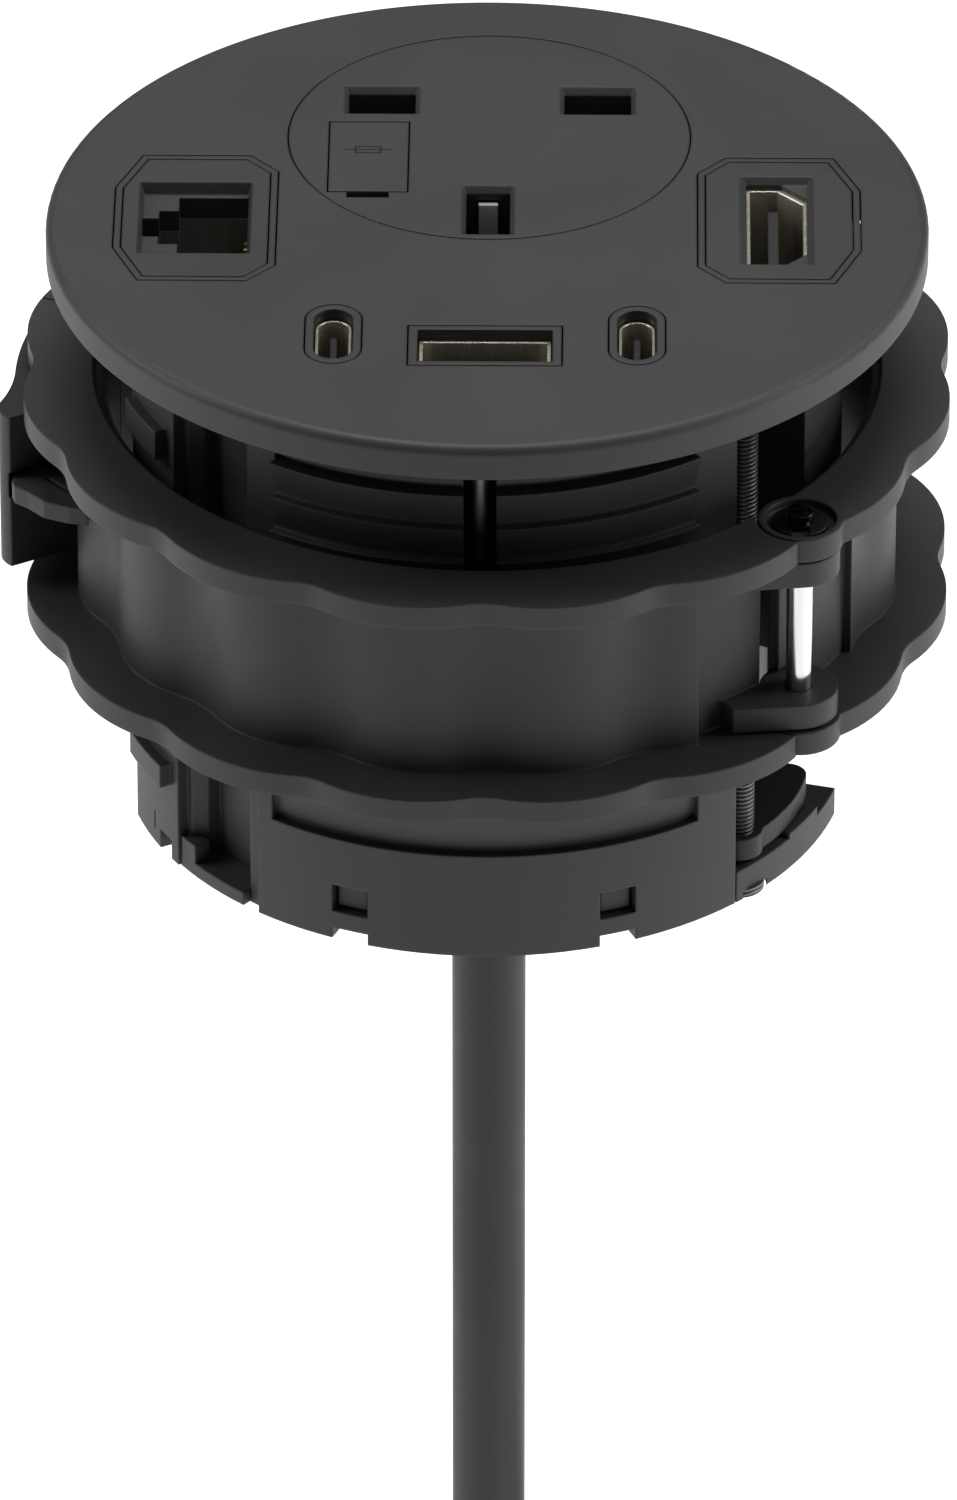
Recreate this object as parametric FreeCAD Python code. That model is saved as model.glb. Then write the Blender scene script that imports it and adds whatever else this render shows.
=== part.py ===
import FreeCAD, Part
import math
import os

Vector = FreeCAD.Vector
CENTRE = Vector(0, 0, 0)
UP = Vector(0, 0, 1)

# The origin is on the axis, at the underside of the bezel, where the desk top lies. Millimetres.
# Angles are degrees about the axis, counted from +X towards +Y. The camera side is -Y.

# Fits between pieces
SEAM = 0.15
PRESS_ROOM = 0.01
RUNNING_FIT = 0.05
SLIDE_GAP = 0.3

# Bezel and its round socket insert
BEZEL_R = 45.0
BEZEL_THICK = 3.6
BEZEL_ROUND = 1.0
BEZEL_STEP_R = 38.2
BEZEL_STEP = 0.1
SOCKET_X = 0.06
SOCKET_Y = 16.6
SOCKET_R = 20.6
FLANGE_STEP = 1.0
FLANGE_THICK = 1.6

# Openings for the plug's pins, with a sloping lead-in
POWER_SLOT = (6.9, 4.4)
POWER_MOUTH = (7.8, 5.7)
POWER_SLOT_X = 11.11
POWER_SLOT_Y = 24.0
EARTH_SLOT = (4.5, 8.6)
EARTH_MOUTH = (5.4, 9.8)
EARTH_SLOT_Y = 1.8
LEAD_IN = 0.7

# The shutter closes the two power slots; the earth pin pushes its ramp back
SHUTTER_TRAVEL = 5.0
SHUTTER_THICK = 1.4
SHUTTER_HIGH = -FLANGE_THICK - 0.2
SHUTTER_PAD = (7.3, 4.9)
ARM_INNER = 5.0
ARM_WIDE = 2.0
RAMP_WIDE = 2.0
RAMP_TOP = 2.0
RAMP_NEAR = 4.0
RAMP_FAR = 6.0
RAMP_DEEP = 4.0
BAR_NEAR = 17.0
BAR_FAR = 20.0
SPRING_R = 1.0
SPRING_WIRE = 0.2
SPRING_TURNS = 7
SPRING_SEAT = 33.0

# Base under the insert, and its folded contacts
BASE_R = 21.0
BASE_HIGH = -FLANGE_THICK
CONTACT_THICK = 0.6
CONTACT_DEEP = 14.0
CONTACT_HIGH = -6.0
CONTACT_GRIP = 0.3
TAIL_WIDE = 3.0
TAIL_ROOM = 0.2
CLIP_FLOOR = 0.6

# Fuse drawer
DRAWER_LEFT = -16.3
DRAWER_WIDE = 8.05
DRAWER_NEAR = 5.4
DRAWER_LONG = 14.0
DRAWER_CAP = 2.4
NOTCH_WIDE = 4.3
NOTCH_LONG = 1.2
NOTCH_DEEP = 1.4
STEM_LONG = 13.97
STEM_WINDOW_HALF = 2.54
FUSE_R = 3.175
FUSE_LONG = 25.4
FUSE_CAP_LONG = 5.6
STRIP_HALF = 2.5

# Data frames: half widths of the eight-cornered outline, on the +X side
FRAME_X = (21.5, 24.35, 35.3, 37.95)
FRAME_Y = (9.3, 12.4, 6.0)
FRAME_RIM = 0.8
JACK_DEEP = 13.0
RJ_MAIN = (24.4, 31.5, 5.9)
RJ_STEP = (2.0, 3.3)
RJ_TAB = (1.7, 1.8)
RJ_CASE = (22.6, 34.0, 7.2)
RJ_PIN_PITCH = 1.27
RJ_MOUTH = (0.7, 2.4)
RJ_SLOPE = (0.9, 1.2)
RJ_MOUTH_DEEP = 1.2
HDMI_X = (26.4, 32.6)
HDMI_HALF = 8.1
HDMI_CHAMFER = 2.6
HDMI_WALL = 0.4
HDMI_TONGUE = (28.6, 29.7, 6.0)
HDMI_TONGUE_BACK = 2.6
HDMI_FOOT = 4.0
HDMI_MOUTH = 1.4
HDMI_MOUTH_DEEP = 0.7

# Charging ports
USB_Y = -25.0
USB_FRAME = (15.4, 7.6)
USB_OPENING = (13.6, 6.1)
USB_WALL = 0.4
PORT_DEEP = 11.4
SHELL_BACK = 1.2
TONGUE_BACK = 2.4
TONGUE_FOOT = 2.0
USB_TONGUE_GAP = 0.9
USB_TONGUE = (11.2, 1.8)
USBC_X = 15.3
USBC_Y = -22.85
USBC_FRAME = (5.6, 11.3)
USBC_SHELL = (3.65, 9.3)
USBC_WALL = 0.3
USBC_TONGUE = (0.7, 6.4)
CASSETTE_HALF = 18.3
CASSETTE_Y = (-29.5, -16.5)
CASSETTE_WALL = 1.0
BOARD_THICK = 1.6

# Screws that hold the bezel, in tabs of the body: radius and angle of each
SCREW_R = 1.1
SCREW_HEAD_R = 1.9
SCREW_HEAD = 1.3
SCREW_BITE = 2.7
TAB_BLOCK = 2.2
TAB_INNER_R = 29.8
TAB_HALF_ANGLE = 3.0
SCREW_PLACES = ((33.0, -51.6), (32.6, 30.0), (32.6, -150.0))

# Body
BODY_R = 36.4
BODY_WALL = 1.4
BODY_DEEP = 61.7
DECK_LEVEL = -28.0
DECK_THICK = 1.5
SKIRT_PROUD = 1.0
SKIRT_TOP = -49.6
SKIRT_SLOPE_TOP = -36.0
SKIRT_ARC = (-128.2, -46.6)
COVER_THICK = 1.5
RIM_TOP = -58.1

# Saw-tooth thread on the body, in two sectors of one helix
PITCH = 4.0
CREST = 1.0
RIDGE_ROOT = 0.4
RAMP = 3.6
FIRST_LEDGE = -6.6
LEDGES = 9
THREAD_ARC = (-125.4, -54.3)
FOOT_CREST = -43.0
TOP_GROOVE = (0.8, 0.7)

# Pockets in the body's side: the two clamp wings stand in the first pair
WING_POCKET = (-46.5, -27.2)
WING_POCKET_DEEP = 7.4
WING_WINDOW_END = 16.8
WING_WINDOW_TOP = -38.5
UPPER_POCKET_START = -45.6
POCKET_TOP = -5.0
POCKET_WALL = 1.2
POCKET_EDGE = 2.2
SIDE_POCKET = (-144.3, -131.2)
SIDE_POCKET_DEEP = 2.9
SIDE_POCKET_TOP = -3.0
STEP_FACE_X = (-31.4, -28.4)
STEP_FACE_Y = -20.4

# Raised pads beside the side pockets, each with two lugs, a notch and a thin slot
PAD_PROUD = 1.25
PAD_ARC = (-163.2, -147.0)
LUG_PROUD = 1.25
LOW_LUG = (-52.7, -50.0, -160.5, -149.2)
HIGH_LUG = (-13.3, -10.0, -160.5, -149.4)
NOTCH_ARC = (-152.8, -149.1)
NOTCH_TOP = -59.4
THIN_SLOT = (-60.0, -57.9, -155.05, -154.65)

# Rims and feet of the base cover, clear of the body by the foot gap in degrees
FOOT_GAP = 0.2
SHELF_ARC = (-24.0, -15.5)
SHELF_TOP = -58.6
RIM_STEP = 0.55
RIM_STEP_START = -33.2
FOOT_END = -142.8
FOOT_INNER_R = 35.5
FOOT_LIFT = 1.2
COVER_NOTCH_R = 31.0
COVER_LAP = 2.55

# Tie rod in its slot with the seat under it
ROD_SLOT = (-2.05, 1.25)
ROD_SLOT_END = -41.0
TIE_ROD_R = 1.0
TIE_ROD_AT = (-0.35, -34.6)
TIE_ROD_TOP = 1.8
ROD_SEAT_HALF = 3.0
ROD_SEAT_NEAR = 0.5
ROD_SEAT_FAR = 3.5
ROD_SEAT_DEEP = 4.0
ROD_HOLE_DEEP = 3.0

# Hole in the deck for the leads, snap windows and the hooks in them
DECK_HOLE_R = 9.0
DECK_HOLE_AT = (0, -6.0)
SNAP_ANGLES = (-111.5, -68.5)
SNAP_HALF_ANGLE = 3.0
SNAP_LOW = -58.4
SNAP_HIGH = -55.2
HOOK_THICK = 1.25
HOOK_ROOM = 0.4
HOOK_SIDE_GAP = 0.5
TOOTH_BACK = 0.9
TOOTH_ROOM = 0.3

# Clamp screws, nuts and wings
ROD_R = 1.5
ROD_AT = (26.1, -23.6)
HEAD_R = 2.6
HEAD_THICK = 0.9
NUT_R = 2.0
HUB_R = 2.4
WING_LOW = -57.25
WING_HIGH = -54.8
NUT_BACK = 0.8
WING_EDGE_R = 37.0
ROD_TOP = -1.2

# Collar: a scalloped ring in two halves
LOBES = 16
SCALLOP_DEEP = 1.4
VALLEY_ARC = 6.0
COLLAR_TOP = -13.5
COLLAR_DEEP = 25.65
TOP_FLANGE = 2.65
LOW_FLANGE = 2.6
COLLAR_ROOM = 0.5
COLLAR_WALL = 3.2
MOUTH_STEP = 1.0
MOUTH_DEEP = 1.1
FLANGE_REACH = 5.3
COLLAR_SPLIT = 165.0
RIB_ROOM = 0.35
RIB_LEAN = 0.45
RIB_THICK = 1.6
RIB_SEAT = 0.25
RIBS = 4
FIRST_RIB = 3
RIB_ARC = (-123.0, -57.0)

# Hinge of the collar
HINGE_ANGLE = -43.24
PIN_R = 1.35
BOSS_R = 4.3
BOSS_PROUD = 0.2
LUG_EYE_R = 4.0
BOSS_RECESS_R = 3.65
BOSS_RECESS = 0.8
PIN_PROUD = 0.9
LUG_THICK = 2.8
EYE_GAP = 0.35
ARM_PROUD = 0.4
ARM_START = -54.1
THIN_WALL = 1.4
FRONT_WALL_END = -59.2
REAR_WALL_START = -26.6
HALVES_APART = 3.6

# Latch lever
LATCH_INSET = 2.7
LATCH_ANGLE = 152.0
LATCH_PIN_R = 1.25
KNUCKLE_R = 2.4
LEVER_ROOM = 0.6
LEVER_LOW = -34.25
TAB_LOW = -25.5
TAB_THICK = 2.0
TAB_CLEARANCE = 0.5

# Mains cable: straight down out of the camera's view, then a tied coil
CABLE_R = 3.85
CABLE_X = 0.2
CABLE_START = -56.5
BOOT_LONG = 20.0
BOOT_R = 6.4
COIL_LEVEL = -224.0
COIL_R = 46.0
COIL_STEP = 3.5 * CABLE_R
COIL_HALF_TURNS = 8
COIL_PROBE = 1.5
COIL_NEIGHBOURS = 6
TAIL_LONG = 56.0
TIE_THICK = 1.0
TIE_WIDE = 6.0
TIE_ROOM = 0.15
TIE_DIP = 1.7
CONNECTOR = (23.0, 12.0, 34.0)

# Terminal block, cable gland and the cores between them
TERMINAL = (20.0, 9.0, 10.0)
TERMINAL_Y = 13.0
TERMINAL_SCREW_R = 1.6
TERMINAL_SCREW_Y = 1.8
GLAND_NECK_R = 6.0
GLAND_FLANGE_R = 8.5
WIRE_R = 1.2
WIRE_SPREAD = 6.5
WIRE_ENTRY = 4.0
WIRE_ENTRY_Y = -2.2

# Power board below the deck with its transformer and capacitor
POWER_BOARD_X = 17.0
POWER_BOARD_Y = (-26.5, -10.5)
POWER_BOARD_LOW = -38.0
CORE = (-9.0, 7.0, -25.0, -12.0)
CORE_HIGH = 14.0
CORE_FRAME = 3.0
CAPACITOR_AT = (12.5, -18.0)
CAPACITOR_R = 4.0
CAPACITOR_HIGH = 16.0

TOP = BEZEL_THICK
BODY_INNER_R = BODY_R - BODY_WALL
MID_WALL_R = BODY_R - BODY_WALL / 2
SKIRT_R = BODY_R + SKIRT_PROUD
CREST_R = BODY_R + CREST
PAD_R = BODY_R + PAD_PROUD
LUG_R = PAD_R + LUG_PROUD
WING_POCKET_R = BODY_R - WING_POCKET_DEEP
SIDE_POCKET_R = BODY_R - SIDE_POCKET_DEEP
COVER_R = BODY_INNER_R - SEAM
COVER_UNDER_R = COVER_R - COVER_LAP
COLLAR_BORE = LUG_R + COLLAR_ROOM
COLLAR_WALL_R = COLLAR_BORE + COLLAR_WALL
MOUTH_BORE = COLLAR_BORE + MOUTH_STEP
THIN_WALL_R = COLLAR_BORE + THIN_WALL
LOBE_R = COLLAR_WALL_R + FLANGE_REACH
VALLEY_R = LOBE_R - SCALLOP_DEEP
RIB_R = BODY_R + RIB_ROOM
HINGE_R = LOBE_R + BOSS_PROUD - BOSS_R
ARM_START_R = COLLAR_WALL_R + ARM_PROUD
LATCH_R = LOBE_R - LATCH_INSET
LEVER_INNER_R = COLLAR_WALL_R + LEVER_ROOM
BODY_LOW = -BODY_DEEP
FLOOR_LEVEL = BODY_LOW + COVER_THICK
DECK_LOW = DECK_LEVEL - DECK_THICK
TERMINAL_TOP = DECK_LOW
PORT_FLOOR = TOP - PORT_DEEP
SPRING_LEVEL = -FLANGE_THICK - SEAM - SPRING_R
INSIDE_R = BODY_INNER_R - 0.2
SOCKET_AT = (SOCKET_X, SOCKET_Y)
HINGE_AT = (
    HINGE_R * math.cos(math.radians(HINGE_ANGLE)),
    HINGE_R * math.sin(math.radians(HINGE_ANGLE)),
)
LATCH_AT = (
    LATCH_R * math.cos(math.radians(LATCH_ANGLE)),
    LATCH_R * math.sin(math.radians(LATCH_ANGLE)),
)
COLLAR_LOW = COLLAR_TOP - COLLAR_DEEP
TOP_FLANGE_LOW = COLLAR_TOP - TOP_FLANGE
LOW_FLANGE_TOP = COLLAR_LOW + LOW_FLANGE
LATCH_PIN_TOP = COLLAR_TOP - 0.6
FAR = 60.0


def cylinder(radius, low, high, at=(0, 0)):
    return Part.makeCylinder(radius, high - low, Vector(at[0], at[1], low))


def tube(outer, inner, low, high, at=(0, 0)):
    return cylinder(outer, low, high, at).cut(cylinder(inner, low - 1, high + 1, at))


def block(left, right, near, far, low, high):
    return Part.makeBox(right - left, far - near, high - low, Vector(left, near, low))


def centred_block(size, at, low, high):
    wide, long = size
    x, y = at
    return block(x - wide / 2, x + wide / 2, y - long / 2, y + long / 2, low, high)


def prism(points, low, high):
    corners = [Vector(x, y, low) for x, y in points]
    outline = Part.makePolygon(corners + corners[:1])
    return Part.Face(outline).extrude(Vector(0, 0, high - low))


def sector(outer, inner, low, high, start, end):
    pie = Part.makeCylinder(outer, high - low, Vector(0, 0, low), UP, end - start)
    pie.rotate(CENTRE, UP, start)
    return pie.cut(cylinder(inner, low - 1, high + 1))


def turned(shape, angle):
    copy = shape.copy()
    copy.rotate(CENTRE, UP, angle)
    return copy


def cone_sector(low_r, high_r, inner, low, high, start, end):
    cone = Part.makeCone(low_r, high_r, high - low, Vector(0, 0, low), UP, end - start)
    cone.rotate(CENTRE, UP, start)
    return cone.cut(cylinder(inner, low - 1, high + 1))


def funnel(mouth, slot, at, low, high):
    """A rectangular opening that narrows downwards."""
    rings = []
    for (wide, long), level in ((slot, low), (mouth, high)):
        corners = [(-1, -1), (1, -1), (1, 1), (-1, 1), (-1, -1)]
        points = [Vector(at[0] + sx * wide / 2, at[1] + sy * long / 2, level) for sx, sy in corners]
        rings.append(Part.makePolygon(points))
    return Part.makeLoft(rings, True, True)


def racetrack(size, low, high, at):
    wide, long = size
    x, y = at
    reach = (long - wide) / 2
    shape = block(x - wide / 2, x + wide / 2, y - reach, y + reach, low, high)
    ends = [cylinder(wide / 2, low, high, (x, y + side * reach)) for side in (-1, 1)]
    return shape.multiFuse(ends).removeSplitter()


def rounded_block(size, radius, low, high, at):
    shape = centred_block(size, at, low, high)
    upright = [e for e in shape.Edges if abs(e.Vertexes[0].Z - e.Vertexes[1].Z) > 0.001]
    return shape.makeFillet(radius, upright)


def polar(radius, angle):
    return (radius * math.cos(math.radians(angle)), radius * math.sin(math.radians(angle)))


def helical_band(profile, level, start, end):
    """Sweep (radius, height) corners along the thread's helix over one sector."""
    turn = end - start
    path = Part.Wire(Part.makeHelix(PITCH, PITCH * turn / 360, BODY_R))
    corners = [Vector(radius, 0, height) for radius, height in profile]
    section = Part.makePolygon(corners + corners[:1])
    band = path.makePipeShell([section], True, True)
    band.rotate(CENTRE, UP, start)
    band.translate(Vector(0, 0, level + PITCH * (start + 90) / 360))
    return band


# Bezel group


def frame_outline(side, inset, low, high):
    """The eight-cornered data frame, drawn in by inset on every side."""
    x1, x2, x3, x4 = FRAME_X
    y1, y2, y3 = FRAME_Y
    right = [(x1, -y1), (x2, -y2), (x3, -y2), (x4, -y3), (x4, y3), (x3, y2), (x2, y2), (x1, y1)]
    corners = [Vector(side * x, y, low) for x, y in right]
    outline = Part.makePolygon(corners + corners[:1])
    if inset:
        outline = outline.makeOffset2D(-inset, 2)
    return Part.Face(outline).extrude(Vector(0, 0, high - low))


def socket_disc(gap, low, high):
    return cylinder(SOCKET_R + gap, low, high, SOCKET_AT)


def bezel():
    disc = cylinder(BEZEL_R, 0, TOP)
    rim = [e for e in disc.Edges if len(e.Vertexes) == 1 and e.Vertexes[0].Z > TOP / 2]
    disc = disc.makeFillet(BEZEL_ROUND, rim)
    low, high = -1, TOP + 1
    holes = [socket_disc(SEAM, low, high)]
    holes += [frame_outline(side, -SEAM, low, high) for side in (-1, 1)]
    holes.append(centred_block([size + 2 * SEAM for size in USB_FRAME], (0, USB_Y), low, high))
    for side in (-1, 1):
        size = [length + 2 * SEAM for length in USBC_FRAME]
        holes.append(racetrack(size, low, high, (side * USBC_X, USBC_Y)))
    holes.append(cylinder(BEZEL_STEP_R, low, BEZEL_STEP))
    holes.append(cylinder(TIE_ROD_R, low, TIE_ROD_TOP, TIE_ROD_AT))
    for at in bezel_screw_places():
        holes.append(cylinder(SCREW_R, low, SCREW_BITE, at))
    return disc.cut(holes)


def flange(shape):
    """The part of an insert under the bezel, kept inside the body's wall."""
    low, high = -FLANGE_THICK - 1, TOP
    return shape.common(cylinder(INSIDE_R, low, high)).cut(pocket_walls(FAR, SEAM, low, high))


def slot_openings(low):
    shapes = []
    for side in (-1, 1):
        at = (SOCKET_X + side * POWER_SLOT_X, POWER_SLOT_Y)
        shapes.append(funnel(POWER_MOUTH, POWER_SLOT, at, TOP - LEAD_IN, TOP))
        shapes.append(centred_block(POWER_SLOT, at, low, TOP - LEAD_IN / 2))
    at = (SOCKET_X, EARTH_SLOT_Y)
    shapes.append(funnel(EARTH_MOUTH, EARTH_SLOT, at, TOP - LEAD_IN, TOP))
    shapes.append(centred_block(EARTH_SLOT, at, low, TOP - LEAD_IN / 2))
    return shapes


def drawer_block(gap, low, high):
    right = DRAWER_LEFT + DRAWER_WIDE
    far = DRAWER_NEAR + DRAWER_LONG
    return block(DRAWER_LEFT - gap, right + gap, DRAWER_NEAR - gap, far + gap, low, high)


def socket_insert():
    plate = socket_disc(0, 0, TOP)
    step = flange(cylinder(SOCKET_R + FLANGE_STEP, -FLANGE_THICK, 0, SOCKET_AT))
    plate = plate.fuse(step)
    cuts = slot_openings(-FLANGE_THICK - 1)
    cuts.append(drawer_block(SEAM, -FLANGE_THICK - 1, TOP + 1))
    notch_left = DRAWER_LEFT + (DRAWER_WIDE - NOTCH_WIDE) / 2
    near = DRAWER_NEAR - NOTCH_LONG
    cuts.append(block(notch_left, notch_left + NOTCH_WIDE, near, DRAWER_NEAR,
                      TOP - NOTCH_DEEP, TOP + 1))
    cuts.append(ramp_groove())
    return plate.cut(cuts)


def ramp_groove():
    half = RAMP_WIDE / 2 + SEAM
    far = RAMP_FAR + SHUTTER_TRAVEL + SLIDE_GAP
    near = EARTH_SLOT_Y
    return block(SOCKET_X - half, SOCKET_X + half, near, far, -FLANGE_THICK - 1, RAMP_TOP + 0.2)


def shutter_shapes(gap, travel, low, high):
    """Plan of the shutter: two pads, their arms, a cross bar and the middle tongue."""
    shapes = []
    for side in (-1, 1):
        x = SOCKET_X + side * POWER_SLOT_X
        wide, long = SHUTTER_PAD
        near = POWER_SLOT_Y - long / 2
        shapes.append(block(x - wide / 2 - gap, x + wide / 2 + gap, near - gap,
                            near + long + travel + gap, low, high))
        arm_far = near + ARM_WIDE + travel + gap
        arm_middle = SOCKET_X + side * (ARM_INNER + ARM_WIDE / 2)
        arm_half = ARM_WIDE / 2 + gap
        shapes.append(block(arm_middle - arm_half, arm_middle + arm_half, BAR_NEAR - gap,
                            arm_far, low, high))
        shapes.append(block(min(arm_middle, x), max(arm_middle, x), near - gap,
                            arm_far, low, high))
    reach = ARM_INNER + ARM_WIDE + gap
    shapes.append(block(SOCKET_X - reach, SOCKET_X + reach, BAR_NEAR - gap,
                        BAR_FAR + travel + gap, low, high))
    half = RAMP_WIDE / 2 + gap
    shapes.append(block(SOCKET_X - half, SOCKET_X + half, RAMP_NEAR - gap,
                        BAR_FAR + travel + gap, low, high))
    return shapes


def socket_shutter():
    low = SHUTTER_HIGH - SHUTTER_THICK
    shapes = shutter_shapes(0, 0, low, SHUTTER_HIGH)
    x1 = SOCKET_X - RAMP_WIDE / 2
    ramp = block(x1, x1 + RAMP_WIDE, RAMP_NEAR, RAMP_FAR, low - RAMP_DEEP, RAMP_TOP)
    slope = Part.makePolygon([
        Vector(x1 - 1, RAMP_NEAR, RAMP_TOP), Vector(x1 - 1, RAMP_FAR - 0.6, RAMP_TOP),
        Vector(x1 - 1, RAMP_NEAR, low - RAMP_DEEP + 1), Vector(x1 - 1, RAMP_NEAR, RAMP_TOP)])
    ramp = ramp.cut(Part.Face(slope).extrude(Vector(RAMP_WIDE + 2, 0, 0)))
    shapes.append(ramp)
    return shapes[0].multiFuse(shapes[1:]).removeSplitter()


def shutter_spring():
    """A compression spring between the shutter's bar and the back of its recess."""
    start, end = BAR_FAR, SPRING_SEAT
    radius = SPRING_R - SPRING_WIRE
    rise = (end - start - 2 * SPRING_WIRE)
    helix = Part.Wire(Part.makeHelix(rise / SPRING_TURNS, rise, radius))
    ring = Part.Wire(Part.makeCircle(SPRING_WIRE, Vector(radius, 0, 0), Vector(0, 1, 0)))
    coil = helix.makePipeShell([ring], True, True)
    coil.rotate(CENTRE, Vector(1, 0, 0), -90)
    coil.translate(Vector(SOCKET_X, start + SPRING_WIRE, SPRING_LEVEL))
    return coil


def contact_cavity(slot, at, gap):
    size = [length + 2 * (CONTACT_GRIP + CONTACT_THICK + gap) for length in slot]
    low = CONTACT_HIGH - CONTACT_DEEP - gap
    return centred_block(size, at, low, BASE_HIGH - SHUTTER_THICK)


def tail_slot(at, low, high):
    size = (TAIL_WIDE + 2 * TAIL_ROOM, CONTACT_THICK + 2 * TAIL_ROOM)
    return centred_block(size, at, low, high)


def contact_places():
    return (
        ("live_contact", POWER_SLOT, (SOCKET_X - POWER_SLOT_X, POWER_SLOT_Y)),
        ("neutral_contact", POWER_SLOT, (SOCKET_X + POWER_SLOT_X, POWER_SLOT_Y)),
        ("earth_contact", EARTH_SLOT, (SOCKET_X, EARTH_SLOT_Y)),
    )


def contact(slot, at):
    """A folded brass clip: two leaves beside the pin, a floor and a tail down to the deck."""
    wide, long = slot
    narrow = 1 if wide > long else 0
    inner = [wide, long]
    outer = [wide, long]
    outer[narrow] += 2 * (CONTACT_GRIP + CONTACT_THICK)
    inner[narrow] += 2 * CONTACT_GRIP
    inner[1 - narrow] += 2
    low = CONTACT_HIGH - CONTACT_DEEP
    clip = centred_block(outer, at, low, CONTACT_HIGH)
    clip = clip.cut(centred_block(inner, at, low + CONTACT_THICK, CONTACT_HIGH + 1))
    tail = centred_block((TAIL_WIDE, CONTACT_THICK), at, TERMINAL_TOP, low + CONTACT_THICK / 2)
    return clip.fuse(tail).removeSplitter()


def socket_base():
    low = DECK_LEVEL
    base = cylinder(BASE_R, low, BASE_HIGH, SOCKET_AT)
    base = base.common(cylinder(INSIDE_R - 0.2, low - 1, 1))
    cuts = pocket_walls(FAR, SLIDE_GAP, low - 1, 1)
    cuts += shutter_shapes(SLIDE_GAP, SHUTTER_TRAVEL, SHUTTER_HIGH - SHUTTER_THICK - SLIDE_GAP, 1)
    half = SPRING_R + SEAM
    cuts.append(block(SOCKET_X - half, SOCKET_X + half, BAR_FAR, SPRING_SEAT,
                      SPRING_LEVEL - half, 1))
    for name, slot, at in contact_places():
        cuts.append(contact_cavity(slot, at, SEAM))
        cuts.append(tail_slot(at, low - 1, CONTACT_HIGH))
    half = RAMP_WIDE / 2 + SLIDE_GAP
    cuts.append(block(SOCKET_X - half, SOCKET_X + half, RAMP_NEAR - SLIDE_GAP,
                      RAMP_FAR + SHUTTER_TRAVEL + SLIDE_GAP,
                      SHUTTER_HIGH - SHUTTER_THICK - RAMP_DEEP - 2 * SLIDE_GAP, 1))
    cuts.append(drawer_block(SLIDE_GAP, low + CLIP_FLOOR, 1))
    return base.cut(cuts)


# Fuse drawer with its cartridge, and the strips that the fuse presses on


def fuse_at():
    return (DRAWER_LEFT + DRAWER_WIDE / 2, DRAWER_NEAR + DRAWER_LONG / 2)


def fuse_levels():
    high = TOP - DRAWER_CAP
    return high - FUSE_LONG, high


def fuse_drawer():
    x, y = fuse_at()
    low, high = fuse_levels()
    cap = drawer_block(0, high, TOP)
    stem_low = high - STEM_LONG
    stem = drawer_block(-0.3, stem_low, high)
    stem = stem.cut(cylinder(FUSE_R + RUNNING_FIT, stem_low - 1, high, (x, y)))
    window = block(x, FAR, y - STEM_WINDOW_HALF, y + STEM_WINDOW_HALF, stem_low - 1,
                   high - FUSE_CAP_LONG)
    stem = stem.cut(window.common(drawer_block(1, stem_low - 2, high)))
    return cap.fuse(stem).removeSplitter()


def fuse_cartridge():
    low, high = fuse_levels()
    at = fuse_at()
    middle = cylinder(FUSE_R - 0.25, low + 1, high - 1, at)
    caps = [
        cylinder(FUSE_R, low, low + FUSE_CAP_LONG, at),
        cylinder(FUSE_R, high - FUSE_CAP_LONG, high, at),
    ]
    return middle.multiFuse(caps)


def fuse_strip():
    """A brass foot under the cartridge."""
    low, high = fuse_levels()
    return centred_block((2 * STRIP_HALF, 2 * STRIP_HALF), fuse_at(), DECK_LEVEL + CLIP_FLOOR, low)


# Data ports


def rj_outline(gap, low, high):
    near, far, half = RJ_MAIN
    shape = block(-far - gap, -near + gap, -half - gap, half + gap, low, high)
    step, step_half = RJ_STEP
    tab, tab_half = RJ_TAB
    shape = shape.fuse([
        block(-far - step - gap, -far, -step_half - gap, step_half + gap, low, high),
        block(-far - step - tab - gap, -far, -tab_half - gap, tab_half + gap, low, high),
    ])
    return shape.removeSplitter()


def rj45_insert():
    plate = frame_outline(-1, FRAME_RIM, 0, TOP)
    near, far, half = RJ_MAIN
    step, tab = RJ_STEP[0], RJ_TAB[0]
    mouth = (far + step + tab - near + RJ_MOUTH[0], 2 * half + RJ_MOUTH[1])
    middle = (-(near + far + step + tab) / 2, 0)
    slot = (mouth[0] - RJ_SLOPE[0], mouth[1] - RJ_SLOPE[1])
    plate = plate.cut(funnel(mouth, slot, middle, TOP - RJ_MOUTH_DEEP, TOP + 0.01))
    return plate.cut(rj_outline(0, -1, TOP))


def data_frame(side):
    ring = frame_outline(side, 0, 0, TOP)
    ring = ring.cut(frame_outline(side, FRAME_RIM - SEAM, 0, TOP))
    return ring


def rj45_jack():
    near, far, half = RJ_CASE
    case = block(-far, -near, -half, half, -JACK_DEEP, 0)
    case = case.common(cylinder(INSIDE_R, -JACK_DEEP - 1, 1))
    case = case.cut(rj_outline(0, -JACK_DEEP + 1.5, 1))
    return case


def rj45_contacts():
    near, far, half = RJ_MAIN
    wires = []
    for index in range(8):
        y = (index - 3.5) * RJ_PIN_PITCH
        x = -near
        foot = block(x - 0.5, x, y - 0.2, y + 0.2, -JACK_DEEP + 1.5, -2.0)
        spring = Part.makePolygon([
            Vector(x, y - 0.2, -2.0), Vector(x - 3.2, y - 0.2, -9.0),
            Vector(x - 3.2, y - 0.2, -9.6), Vector(x, y - 0.2, -3.0), Vector(x, y - 0.2, -2.0)])
        spring = Part.Face(spring).extrude(Vector(0, 0.4, 0))
        wires.append(foot.fuse(spring).removeSplitter())
    return Part.makeCompound(wires)


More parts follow.
